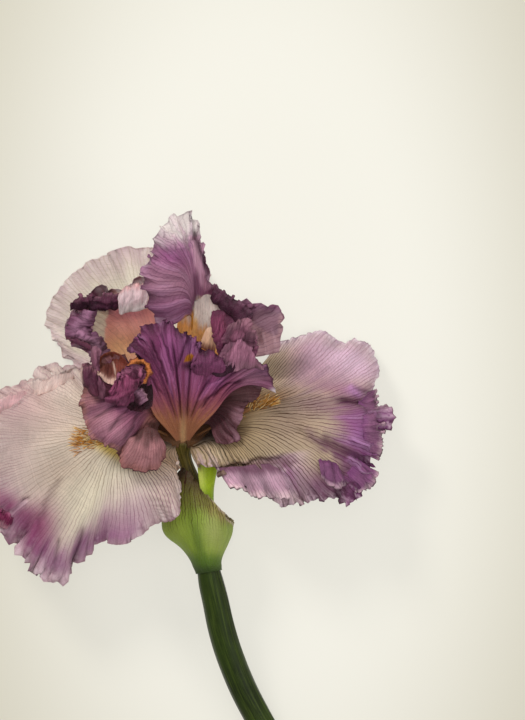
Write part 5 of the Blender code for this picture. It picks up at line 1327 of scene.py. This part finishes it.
def overlaps():
    """Light-edged frills lying over the top of the left fall and the fringe of the right one."""
    inner("fall_left_frill_high", riding("fall_left", [
        [(30, 396, -0.3), (28, 389, 1.0), (27, 382, 0.6)],
        [(38, 395, 0.0), (40, 386, 2.0), (41, 378, 0.8)],
        [(50, 391, 0.0), (52, 382, 2.4), (53, 373, 0.8)],
        [(62, 385, 0.0), (64, 377, 2.0), (66, 369, 0.8)],
        [(73, 379, -0.3), (74, 373, 0.8), (74, 367, 0.4)]]),
        96, 29, 721, (248, 234, 230), (250, 240, 236), (246, 228, 222), ((0.7, 10.0, 9.0, 0.7), (0.4, 3.4, 3.0, 0.9)), None, cut=0.6, through=0.6,
        veining=0.3, vein=(176, 136, 140), first=16, line=0.4, shade=0.25)
    inner("fall_left_frill_low", riding("fall_left", [
        [(-10, 420, -0.3), (-9, 412, 1.6), (-8, 405, 0.6)],
        [(4, 412, 0.0), (5, 404, 2.2), (5, 396, 0.8)],
        [(16, 406, 0.0), (18, 398, 2.0), (19, 390, 0.8)],
        [(28, 400, -0.3), (29, 394, 0.9), (29, 387, 0.4)]]),
        74, 26, 731, (244, 214, 218), (248, 228, 228), (242, 214, 214), ((0.7, 9.0, 8.0, 0.7), (0.4, 3.2, 3.0, 0.9)), None, cut=0.6, through=0.6,
        veining=0.3, vein=(176, 130, 140), first=14, line=0.4, shade=0.25)
    inner("fall_left_curl", riding("fall_left", [
        [(-14, 520, 0.0), (-12, 514, 2.4), (-10, 507, 1.4)],
        [(-6, 524, 0.0), (-3, 516, 3.0), (0, 509, 1.6)],
        [(2, 527, 0.0), (5, 519, 2.6), (8, 512, 1.4)],
        [(9, 530, -0.2), (12, 524, 1.2), (14, 518, 0.6)]]),
        67, 26, 741, (130, 44, 84), (178, 110, 140), (212, 160, 176), ((0.8, 5.0, 6.0, 1.0), (0.4, 2.2, 3.0, 1.0)), (0.7, 3.6), cut=0.7, through=0.4,
        veining=0.4, vein=(90, 24, 54), first=10)
    inner("fall_right_curl", riding("fall_right", [
        [(360, 394, -1.2), (368, 392, 0.6), (376, 389, 0.4)],
        [(358, 406, -1.2), (369, 405, 1.6), (379, 402, 0.8)],
        [(361, 418, -1.2), (372, 417, 2.2), (382, 415, 1.0)],
        [(358, 429, -1.2), (371, 430, 2.0), (383, 431, 1.0)],
        [(361, 440, -1.2), (371, 443, 1.8), (383, 446, 0.8)],
        [(358, 451, -1.2), (369, 456, 0.8), (379, 461, 0.4)]]),
        141, 46, 751, (166, 114, 150), (222, 194, 202), (158, 98, 150), ((1.0, 7.0, 7.0, 0.9), (0.6, 3.0, 4.0, 1.0), (0.4, 1.4, 2.0, 1.0)), (0.3, 3.4), cut=0.9,
        through=0.45, veining=0.4, vein=(104, 44, 92), first=14, line=0.9, shade=0.45)
    inner("fall_right_curl_low", riding("fall_right", [
        [(318, 458, -0.3), (320, 468, 1.6), (322, 478, 0.8)],
        [(324, 458, 0.0), (326, 470, 2.8), (328, 484, 1.4)],
        [(331, 461, 0.0), (333, 473, 3.0), (336, 487, 1.4)],
        [(339, 465, -0.3), (343, 475, 1.6), (347, 485, 0.8)]]),
        89, 35, 761, (142, 92, 130), (214, 184, 196), (136, 80, 126), ((0.9, 5.0, 8.0, 0.9), (0.5, 2.2, 3.0, 1.0)), (0.7, 4.0), cut=0.9,
        through=0.45, veining=0.45, vein=(84, 34, 74), first=12, line=0.9, shade=0.6)
    inner("fall_right_rim_low", riding("fall_right", [
        [(342, 476, -1.2), (349, 485, 0.8), (356, 493, 0.4)],
        [(350, 469, -1.2), (361, 478, 1.6), (370, 487, 0.8)],
        [(356, 458, -1.2), (368, 466, 0.8), (379, 472, 0.4)]]),
        74, 26, 771, (152, 98, 140), (220, 192, 202), (146, 86, 138), ((0.9, 5.0, 6.0, 0.9), (0.5, 2.2, 3.0, 1.0)), (0.3, 3.4), cut=0.9,
        through=0.45, veining=0.4, vein=(90, 40, 80), first=12, line=0.9, shade=0.6)
    inner("fall_right_skirt", riding("fall_right", [
        [(214, 466, -0.6), (221, 475, 0.3), (228, 483, 0.2)],
        [(229, 467, -0.6), (236, 479, 0.8), (243, 491, 0.4)],
        [(244, 466, -0.8), (252, 481, 1.2), (259, 496, 0.6)],
        [(260, 464, -1.0), (269, 481, 1.4), (278, 498, 0.6)],
        [(280, 464, -1.6), (290, 480, 0.2), (299, 496, 0.1)]]),
        126, 52, 781, (212, 178, 196), (238, 216, 220), (132, 84, 110), ((1.3, 11.0, 12.0, 0.8), (0.6, 4.2, 5.0, 1.0), (0.4, 1.6, 2.0, 1.0)), None, cut=0.9,
        through=0.5, veining=0.5, vein=(140, 92, 116), first=16, line=1.0, shade=0.45)


def throat_paint(f, tint, grain):
    a, b = f.drawn()
    tint = mix(tint, srgb(250, 198, 126), 0.95 * smooth(b - 0.5 * (a - 200) + 8 * grain, 320, 332))
    tint = mix(tint, srgb(226, 150, 82), 0.6 * smooth(b - 0.5 * (a - 200) + 6 * grain, 338, 350))
    return mix(tint, srgb(150, 84, 78), 0.7 * within(a, b, [(210, 318), (222, 308), (226, 330), (214, 344), (208, 336)], 2.5, 3.0, 791))


def lobes():
    # its dark brown base end is painted shade, blending it into the shadow by the front standard
    inner("style_arm_left_lobe", [
        [(136, 437, 56.0), (128, 437, 59.2), (123, 445, 57.5)],
        [(138, 433, 56.8), (129, 443, 60.3), (121, 456, 57.5)],
        [(141, 430, 57.3), (133, 449, 61), (122.5, 466, 57.5)],
        [(145, 428, 57.6), (140, 452, 61.2), (132, 470.5, 57)],
        [(150, 427.5, 57.6), (147, 452, 61), (143, 471.5, 57)],
        [(154, 429, 57.5), (154.5, 451, 60.5), (154.5, 470, 56.5)],
        [(158, 432, 57), (160, 447, 59.5), (162.5, 462, 55.5)],
        [(160, 436, 56.2), (163, 441, 57), (165.5, 447, 55)]],
        111, 58, 801, (180, 128, 132), (166, 112, 108), (70, 36, 32), ((0.5, 9.0, 5.0, 0.6), (0.35, 2.8, 3.0, 0.9)), (0.25, 4.0), cut=0.5,
        veining=0.55, vein=(104, 54, 62), first=20, line=1.3)
    inner("standard_right_throat", [
        [(176, 362, 36.5), (176, 346, 36.5), (177, 326, 37), (181, 302, 37.5)],
        [(194, 362, 35.5), (194, 345, 36), (195, 326, 36.5), (197, 300, 37.5)],
        [(206, 362, 35), (206, 344, 35.5), (207, 322, 36), (208, 294, 37)],
        [(218, 362, 35.5), (218, 345, 36), (219, 324, 36.5), (221, 302, 37.5)]],
        52, 52, 811, (252, 242, 236), (252, 240, 234), (250, 240, 226), ((0.5, 8.0, 8.0, 0.6),), None, cut=0.3, through=0.5, paint=throat_paint, shade=0.12,
        veining=0.16, vein=(176, 110, 84), first=14, line=0.3)
    inner("standard_left_frill_white", [
        [(119, 314, 36), (119, 303, 39), (120, 294, 37)],
        [(128, 313, 37.5), (129, 300, 41), (130, 286, 38.5)],
        [(138, 311, 38.5), (139, 298, 42), (140, 284, 39.5)],
        [(147, 308, 39), (148, 297, 41.5), (150, 287, 39.5)]],
        81, 41, 821, (244, 226, 230), (236, 200, 200), (252, 246, 246), ((1.2, 6.5, 9.0, 0.9), (0.5, 2.6, 3.0, 1.0)), (0.9, 4.6), cut=0.7, through=0.55,
        veining=0.3, vein=(160, 110, 130), first=14, line=0.4, shade=0.4)


def hafts():
    inner("haft_right", [
        [(185, 440, 35), (198, 422, 33.5), (214, 405, 31)],
        [(186, 442, 35.5), (202, 429, 35), (221, 413, 33.5)],
        [(187, 445, 35.5), (204, 437, 36.8), (225, 424, 37)],
        [(187.5, 448, 34.5), (203, 444, 37), (222, 436, 39)]],
        44, 29, 701, (86, 54, 30), (70, 42, 24), (104, 72, 44), (), None, veining=1.0, vein=(36, 14, 7), first=16)
    inner("haft_left", [
        [(181, 440, 35), (168, 422, 33.5), (152, 405, 31)],
        [(180, 442, 35.5), (164, 429, 35), (145, 413, 33.5)],
        [(179, 445, 35.5), (162, 437, 36.8), (141, 426, 37)],
        [(178.5, 448, 34.5), (163, 445, 37), (146, 440, 39)]],
        44, 29, 711, (92, 56, 32), (78, 46, 28), (110, 76, 48), (), None, veining=1.0, vein=(36, 14, 7), first=16)


# ---------------------------------------------------------------- round pieces
def tube(name, line, around, material, ribs=0.0, rib_count=9, seed=0, cap_dome=0.0, top_dome=None):
    """A round closed piece along a line of (x, y, h, radius) in mm, with faint ribs, and a uv of (round, mm along)."""
    c, r = line[:, :3], line[:, 3]
    tangent = np.gradient(c, axis=0)
    tangent /= np.linalg.norm(tangent, axis=1, keepdims=True)
    up = np.array([0, 0, 1.0])
    side = np.cross(tangent, up)
    side /= np.linalg.norm(side, axis=1, keepdims=True)
    top = np.cross(side, tangent)
    run = np.concatenate([[0], np.cumsum(np.linalg.norm(np.diff(c, axis=0), axis=1))])
    ang = np.linspace(0, 2 * math.pi, around, endpoint=False)
    bulge = 1 + ribs * (0.5 * np.cos(rib_count * ang)[None, :] + noise2(np.cos(ang)[None, :] * 3 + 9 + 0 * run[:, None], np.sin(ang)[None, :] * 3 + run[:, None] / 22, seed))
    rr = r[:, None] * bulge
    ring_ = c[:, None] + rr[..., None] * (np.cos(ang)[None, :, None] * side[:, None] + np.sin(ang)[None, :, None] * top[:, None])
    n = len(c)
    caps, faces, shades = [], [], []
    pts = [ring_.reshape(-1, 3)]
    idx = np.arange(n * around).reshape(n, around)
    nxt = np.roll(idx, -1, 1)
    quads = np.stack([idx[:-1], nxt[:-1], nxt[1:], idx[1:]], -1).reshape(-1, 4).tolist()
    total = n * around
    coords_u, coords_v = [np.repeat((ang / (2 * math.pi))[None], n, 0).ravel()], [np.repeat(run[:, None], around, 1).ravel()]
    cut = [np.zeros(total)]
    for end, sign in ((0, -1), (n - 1, 1)):
        if top_dome is not None and sign > 0:
            cap_dome = top_dome
        rims = []
        for k, q in enumerate((0.93, 0.80, 0.55, 0.28)):
            dome = sign * tangent[end] * (cap_dome * r[end] * math.sqrt(max(0, 1 - q * q)) + (0.12 if k == 0 else 0.05 * (k % 2)))
            pts.append(c[end] + (ring_[end] - c[end]) * q + dome)
            coords_u.append(ang / (2 * math.pi))
            coords_v.append(np.full(around, run[end]))
            cut.append(np.full(around, 1.0 if k else 0.4))
            rims.append(np.arange(total, total + around))
            total += around
        pts.append((c[end] + sign * tangent[end] * cap_dome * r[end])[None])
        coords_u.append(np.zeros(1))
        coords_v.append(np.full(1, run[end]))
        cut.append(np.ones(1))
        centre = total
        total += 1
        before = idx[end]
        for rim in rims:
            a, b = before, rim
            a2, b2 = np.roll(a, -1), np.roll(b, -1)
            f = np.stack([a, a2, b2, b], -1) if sign > 0 else np.stack([a, b, b2, a2], -1)
            quads += f.tolist()
            before = rim
        b2 = np.roll(before, -1)
        faces += [[int(x), int(y), centre] if sign > 0 else [int(y), int(x), centre] for x, y in zip(before, b2)]
    mesh = bpy.data.meshes.new(name)
    points = np.concatenate(pts)
    points[:, 2] = np.maximum(points[:, 2], 0.0)
    mesh.from_pydata(place(points).tolist(), [], [[int(i) for i in q] for q in quads] + faces)
    mesh.validate()
    mesh.shade_smooth()
    uu, vv, cc = np.concatenate(coords_u), np.concatenate(coords_v), np.concatenate(cut)
    layer = mesh.uv_layers.new(name="Grain")
    loops = np.zeros(len(mesh.loops), np.int32)
    mesh.loops.foreach_get("vertex_index", loops)
    layer.data.foreach_set("uv", np.stack([uu[loops], vv[loops]], -1).astype(np.float32).ravel())
    for key, value in (("cut", cc), ("along", vv)):
        mesh.attributes.new(key, "FLOAT", "POINT").data.foreach_set("value", value.astype(np.float32))
    obj = bpy.data.objects.new(name, mesh)
    bpy.context.scene.collection.objects.link(obj)
    mesh.materials.append(material)
    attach(obj, "root")
    return obj


def stalk_material(name, base, dark, pale, cut_colour, stretch=0.5, roughness=0.42, lines=30.0):
    """Waxy green stalk: fine lengthwise lines, blotches, a bloom of wax, and a paler wet cut face."""
    t = Tree(name)
    place_ = t.add("ShaderNodeTexCoord").outputs["Object"]
    uv = t.add("ShaderNodeUVMap", uv_map="Grain").outputs["UV"]
    split = t.add("ShaderNodeSeparateXYZ")
    t.put(split.inputs[0], uv)
    # round the stalk without a seam: a circle in noise space
    turn = t.math("MULTIPLY", split.outputs[0], 2 * math.pi)
    cx, cy = t.math("COSINE", turn), t.math("SINE", turn)
    long_ = t.math("MULTIPLY", split.outputs[1], stretch * 0.12)
    lines_ = t.noise(t.vector(t.math("MULTIPLY", cx, lines / 3), t.math("MULTIPLY", cy, lines / 3), long_), 1.0, 3.0, 0.6)
    broad = t.noise(place_, 60.0, 3.0)
    fine = t.noise(place_, 1900.0, 2.0)
    colour = t.mix(t.step(broad, 0.3, 0.7), (*dark, 1), (*base, 1))
    colour = t.mix(t.math("MULTIPLY", t.step(lines_, 0.45, 0.7), 0.55), colour, (*pale, 1))
    colour = t.mix(t.math("MULTIPLY", t.step(fine, 0.5, 0.75), 0.18), colour, (*pale, 1))
    rings = t.noise(place_, 900.0, 3.0)
    cut = t.mix(t.step(rings, 0.35, 0.65), (*cut_colour, 1), (*(np.array(cut_colour) * 0.62), 1))
    colour = t.mix(t.attribute("cut"), colour, cut)
    bump = t.add("ShaderNodeBump")
    bump.inputs["Strength"].default_value = 0.5
    bump.inputs["Distance"].default_value = 0.0002
    t.put(bump.inputs["Height"], t.math("ADD", lines_, t.math("MULTIPLY", fine, 0.25)))
    s = t.add("ShaderNodeBsdfPrincipled")
    t.put(s.inputs["Base Color"], colour)
    t.put(s.inputs["Roughness"], t.step(fine, 0.2, 0.8, roughness - 0.06, roughness + 0.1))
    s.inputs["Specular IOR Level"].default_value = 0.12
    s.inputs["Subsurface Weight"].default_value = 0.08
    s.inputs["Subsurface Radius"].default_value = (0.4, 0.8, 0.2)
    s.inputs["Subsurface Scale"].default_value = 0.002
    s.inputs["Sheen Weight"].default_value = 0.10
    s.inputs["Sheen Roughness"].default_value = 0.25
    t.put(s.inputs["Normal"], bump.outputs[0])
    t.links.new(s.outputs[0], t.add("ShaderNodeOutputMaterial").inputs[0])
    return t.material


# ---------------------------------------------------------------- spathe
def bract(name, across, along, seed):
    f = Sheet(name, across, along, crowd=1.2)
    outer = name == "spathe_outer"
    f.pleats(0.25, 3.0, seed, 0.1, 0.5)
    f.ruffle(0.5, 8.0, 6.0, seed + 1, roll=0.4)
    if outer:
        papery = smooth(f.t, 16, 5) * smooth(f.drawn()[1], 520, 500)
        f.crumple(0.7, 4.0, seed + 4, where=papery)
        # the foot clasps the stalk: it is drawn in towards the stalk's middle line
        foot = (1 - smooth(f.v, 0.0, 0.16))[..., None]
        middle = to_mm(np.array([[209.0, 572.0, 23.3]]))[0]
        away = f.p - middle
        away[..., 1] = 0
        f.p = f.p - 0.10 * foot * away
    f.axes()
    f.lace(0.25, 1.8, seed + 2, cut=0.7, depth=2.0)
    a, b = f.drawn()
    grain = fbm2(f.u * 30, f.along / 12, seed + 3, 4)
    streak = streaks(f, seed + 6, 30.0, 14.0)
    if outer:
        tint = np.broadcast_to(srgb(146, 168, 72), f.p.shape).copy()
        tint = mix(tint, srgb(166, 184, 88), 0.7 * blob(a, b, (176, 530), (14, 16)))
        # a line of painted shade along the fold in the middle of the bract
        tint = mix(tint, srgb(92, 120, 44), 0.75 * blob(a, b, (200, 546), (5, 26), -12))
        tint = mix(tint, srgb(172, 178, 112), 0.8 * blob(a, b, (214, 530), (12, 22), -8))
        # darker green towards the foot: fading into the stalk's colour, with painted shade over the foot
        tint = mix(tint, srgb(84, 112, 42), 0.9 * smooth(b + 4 * grain, 548, 562))
        tint = mix(tint, srgb(46, 66, 22), 0.9 * smooth(b + 2 * grain, 560, 572))
        tint = mix(tint, srgb(156, 134, 92), 0.75 * smooth(f.t + 3 * grain + 2 * streak, 13, 4) * smooth(b, 530, 515))
        tint = mix(tint, srgb(118, 116, 56), 0.8 * smooth(b + 7 * grain + 4 * streak, 520, 500) * (1 - smooth(a, 206, 222)))
        tint = mix(tint, srgb(74, 54, 34), 0.92 * smooth(b + 8 * grain + 3 * streak, 500, 478))
        tint = mix(tint, srgb(34, 24, 14), 0.7 * smooth(b + 6 * grain, 482, 472) * smooth(a, 192, 184))
        tint = mix(tint, srgb(206, 186, 170), 0.6 * smooth(f.t + grain, 2.0, 0.6) * smooth(a, 204, 218))
        veining = 0.12 + 0.85 * smooth(b + 10 * grain, 536, 508)
        vein = np.broadcast_to(srgb(70, 40, 28), tint.shape)
    else:
        tint = np.broadcast_to(srgb(172, 196, 62), f.p.shape).copy()
        tint = mix(tint, srgb(112, 146, 40), 0.6 * smooth(b, 482, 500))
        tint = mix(tint, srgb(206, 212, 120), 0.7 * blob(a, b, (201, 476), (4, 18)))
        tint = mix(tint, srgb(112, 96, 60), 0.8 * smooth(b + 4 * grain, 474, 466) * smooth(a, 204, 199))
        veining = 0.3 + 0.0 * f.t
        vein = np.broadcast_to(srgb(110, 140, 40), tint.shape)
    tint = tint * (1 + 0.14 * grain[..., None])
    return f.build(petal_material(name + "_skin", 14, width=0.2, wobble=1.0 if outer else 0.4, through=0.3, roughness=0.42, spread=1.3, mottling=0.3),
                   tint, vein, veining, thickness=0.4, rim=0.16)


# ---------------------------------------------------------------- beards
def hair_material():
    t = Tree("beard_hairs")
    tip = t.attribute("tip")
    colour = t.mix(t.step(tip, 0.15, 0.5), (*srgb(152, 92, 36), 1), (*srgb(226, 160, 62), 1))
    colour = t.mix(t.step(tip, 0.5, 0.9), colour, (*srgb(244, 226, 170), 1))
    speck = t.noise(t.add("ShaderNodeTexCoord").outputs["Object"], 700.0, 2.0)
    colour = t.mix(t.math("MULTIPLY", t.step(speck, 0.5, 0.75), 0.3), colour, (*srgb(140, 80, 34), 1))
    s = t.add("ShaderNodeBsdfPrincipled")
    t.put(s.inputs["Base Color"], colour)
    s.inputs["Roughness"].default_value = 0.45
    lit = t.add("ShaderNodeBsdfTranslucent")
    t.put(lit.inputs["Color"], colour)
    blend = t.add("ShaderNodeMixShader")
    blend.inputs[0].default_value = 0.3
    t.links.new(s.outputs[0], blend.inputs[1])
    t.links.new(lit.outputs[0], blend.inputs[2])
    t.links.new(blend.outputs[0], t.add("ShaderNodeOutputMaterial").inputs[0])
    return t.material


def beard(name, petal, u_mid, v_from, v_to, count, seed, material, length=(2.6, 4.6), half=2.2, turn=1.0, spray=0.5):
    """Fleshy hairs in a band along the middle of a fall, on its upper face."""
    r = np.random.RandomState(seed)
    us, vs = np.linspace(u_mid - 0.12, u_mid + 0.12, 60), np.linspace(v_from, v_to, 90)
    p = surface(petal, us, vs)
    n = normals(p)
    n *= turn * np.sign(n[..., 2:].mean())
    d = np.gradient(p, axis=1)
    d /= np.linalg.norm(d, axis=-1, keepdims=True)
    c = np.cross(d, n)
    mm = np.linalg.norm(p[-1] - p[0], axis=-1)        # width of the patch at each v
    pts, faces, tips = [], [], []
    sides, rings = 5, 6
    for _ in range(count):
        j = int(r.uniform(0, 89))
        off = np.clip(r.normal(0, half * 0.55), -half, half)
        i = int(np.clip(30 + off / mm[j] * 59, 0, 59))
        root = p[i, j] + d[i, j] * r.uniform(-0.3, 0.3)
        grow = n[i, j] * r.uniform(0.75, 1.0) + d[i, j] * r.uniform(0.1, 0.9) + c[i, j] * (off / half * 0.4 + r.normal(0, 0.22))
        grow /= np.linalg.norm(grow)
        bend = d[i, j] * r.uniform(-0.1, 0.7) + c[i, j] * r.normal(0, 0.3) - n[i, j] * r.uniform(0.0, 0.5)
        end = max(0.0, (j - 60) / 29)                 # the far end splays out over the blade
        grow = grow + end * spray * (d[i, j] * r.uniform(0.4, 1.6) + c[i, j] * r.normal(0, 0.8))
        grow /= np.linalg.norm(grow)
        size = r.uniform(*length) * (0.8 + 0.35 * end)
        hue = r.uniform(0, 1)
        x = np.cross(grow, [0.3, 0.5, 0.8])
        x /= np.linalg.norm(x)
        y = np.cross(grow, x)
        base = len(pts)
        for k in range(rings):
            q = k / (rings - 1)
            mid = root + grow * size * q + bend * size * 0.4 * q * q
            rad = (0.17 - 0.08 * q + (0.04 if k == rings - 2 else 0.0)) if k < rings - 1 else 0.05
            for a in np.linspace(0, 2 * math.pi, sides, endpoint=False):
                pts.append(mid + rad * (x * math.cos(a) + y * math.sin(a)))
                tips.append(0.3 * q + 0.7 * hue)
        for k in range(rings - 1):
            for a in range(sides):
                e, f = base + k * sides + a, base + k * sides + (a + 1) % sides
                faces.append((e, f, f + sides, e + sides))
        faces.append(tuple(base + a for a in range(sides))[::-1])
        faces.append(tuple(base + (rings - 1) * sides + a for a in range(sides)))
    mesh = bpy.data.meshes.new(name)
    mesh.from_pydata(place(np.array(pts)).tolist(), [], faces)
    mesh.validate()
    mesh.shade_smooth()
    mesh.attributes.new("tip", "FLOAT", "POINT").data.foreach_set("value", np.array(tips, np.float32))
    obj = bpy.data.objects.new(name, mesh)
    bpy.context.scene.collection.objects.link(obj)
    mesh.materials.append(material)
    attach(obj, "root")
    return obj


# ---------------------------------------------------------------- the flower
fall_left()
fall_right()
fall_back()
standard_front()
standard_left()
standard_right()
style_arm("style_arm_left", 150, 62, 201, srgb(144, 88, 112), srgb(158, 104, 124), srgb(96, 52, 36), 18, left_arm_tint_and_shade,
          ([(130, 405), (118, 418), (106, 436)], [(122, 402), (108, 410), (92, 420)], [(138, 410), (133, 426), (122, 444)]))
style_arm("style_arm_right", 84, 44, 211, srgb(92, 54, 58), srgb(112, 72, 78), srgb(70, 40, 22), 8, right_arm_tint_and_shade)
style_arm("style_arm_back", 66, 34, 221, srgb(158, 96, 124), srgb(176, 118, 138), srgb(190, 140, 90), 8)
crests()
ribbons()
hafts()
overlaps()
lobes()
bract("spathe_outer", 114, 54, 301)
bract("spathe_inner", 40, 50, 311)
green = stalk_material("stalk_skin", srgb(38, 52, 12), srgb(22, 30, 8), srgb(68, 84, 28), srgb(176, 188, 120))
obj = tube("stem_stalk", route(STEM, 120), 48, green, ribs=0.02, seed=5)
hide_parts("stem")
tube_skin = stalk_material("ovary_skin", srgb(94, 84, 26), srgb(48, 40, 14), srgb(132, 116, 62), srgb(196, 158, 108), lines=18)
obj = tube("ovary_tube", route(OVARY, 60), 40, tube_skin, ribs=0.05, rib_count=6, seed=6, top_dome=0.9)
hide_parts("ovary")
pollen = stalk_material("stamen_skin", srgb(112, 74, 44), srgb(80, 46, 26), srgb(150, 112, 72), srgb(150, 110, 70), lines=14, roughness=0.6)
for key, line in FILAMENTS.items():
    obj = tube(key + "_rod", route(line, 46), 18, pollen, ribs=0.08, rib_count=4, seed=7, cap_dome=0.7)
    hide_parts(key)
hairs = hair_material()
beard("beard_left", "fall_left", 0.345, 0.24, 0.525, 380, 401, hairs, length=(2.6, 4.6), half=4.0, spray=1.0)
beard("beard_right", "fall_right", 0.235, 0.24, 0.475, 320, 402, hairs, length=(2.8, 4.8), half=3.0, spray=1.0)
beard("beard_back", "fall_back", 0.5, 0.14, 0.6, 300, 403, hairs)


# ---------------------------------------------------------------- stage, lights and camera
def floor():
    mesh = bpy.data.meshes.new("floor")
    e = 6.0
    mesh.from_pydata([(-e, -e, 0), (e, -e, 0), (e, e, 0), (-e, e, 0)], [], [(0, 1, 2, 3)])
    obj = bpy.data.objects.new("floor", mesh)
    bpy.context.scene.collection.objects.link(obj)
    obj.location.z = -0.0006
    t = Tree("pale_floor")
    place_ = t.add("ShaderNodeTexCoord").outputs["Object"]
    split = t.add("ShaderNodeSeparateXYZ")
    t.put(split.inputs[0], place_)
    # pale all over, with a wide and gentle painted pool of light round the flower that fades from near white to beige
    # further out; the floor also glows with this colour, lighting the flower from below
    x = t.math("SUBTRACT", split.outputs[0], SHIFT_X / 1000)
    y = t.math("MULTIPLY", t.math("SUBTRACT", split.outputs[1], SHIFT_Y / 1000), 0.5)
    off = t.math("SQRT", t.math("ADD", t.math("MULTIPLY", x, x), t.math("MULTIPLY", y, y)))
    colour = t.mix(t.step(off, 0.055, 0.16), (*srgb(253, 251, 240), 1), (*srgb(216, 211, 192), 1))
    s = t.add("ShaderNodeBsdfPrincipled")
    dull = t.mix(0.74, colour, (0, 0, 0, 1))
    t.put(s.inputs["Base Color"], dull)
    s.inputs["Roughness"].default_value = 0.8
    s.inputs["Specular IOR Level"].default_value = 0.1
    t.put(s.inputs["Emission Color"], colour)
    s.inputs["Emission Strength"].default_value = 0.60
    t.links.new(s.outputs[0], t.add("ShaderNodeOutputMaterial").inputs[0])
    mesh.materials.append(t.material)


def light(name, at, aim, size, power, colour=(1, 1, 1)):
    lamp = bpy.data.lights.new(name, "AREA")
    lamp.shape = "DISK"
    lamp.size = size
    lamp.energy = power
    lamp.color = colour
    obj = bpy.data.objects.new(name, lamp)
    bpy.context.scene.collection.objects.link(obj)
    from mathutils import Vector
    obj.location = at
    obj.rotation_euler = (Vector(aim) - Vector(at)).to_track_quat("-Z", "Y").to_euler()


floor()
light("key", (-0.55, 0.9, 0.9), (0, 0.02, 0.02), 0.4, 11.0, (1.0, 0.97, 0.93))
light("fill", (0.9, -0.3, 0.8), (0, 0.0, 0.02), 0.8, 4.5, (1.0, 0.98, 0.96))
light("top", (0.1, 0.1, 1.4), (0, 0.0, 0.0), 0.7, 4.0)
world = bpy.data.worlds.new("studio")
world.use_nodes = True
world.node_tree.nodes["Background"].inputs[0].default_value = (0.95, 0.94, 0.92, 1)
world.node_tree.nodes["Background"].inputs[1].default_value = 0.56
bpy.context.scene.world = world

lens = bpy.data.cameras.new("front")
lens.sensor_fit = "VERTICAL"
lens.sensor_height = 36
lens.lens = 36 * (VIEW_H - REF_H) / (720 * UNIT)
lens.clip_start, lens.clip_end = 0.01, 50
eye = bpy.data.objects.new("front", lens)
bpy.context.scene.collection.objects.link(eye)
eye.location = (SHIFT_X / 1000, SHIFT_Y / 1000, VIEW_H / 1000)
bpy.context.scene.camera = eye
bpy.context.scene.view_settings.view_transform = "Standard"
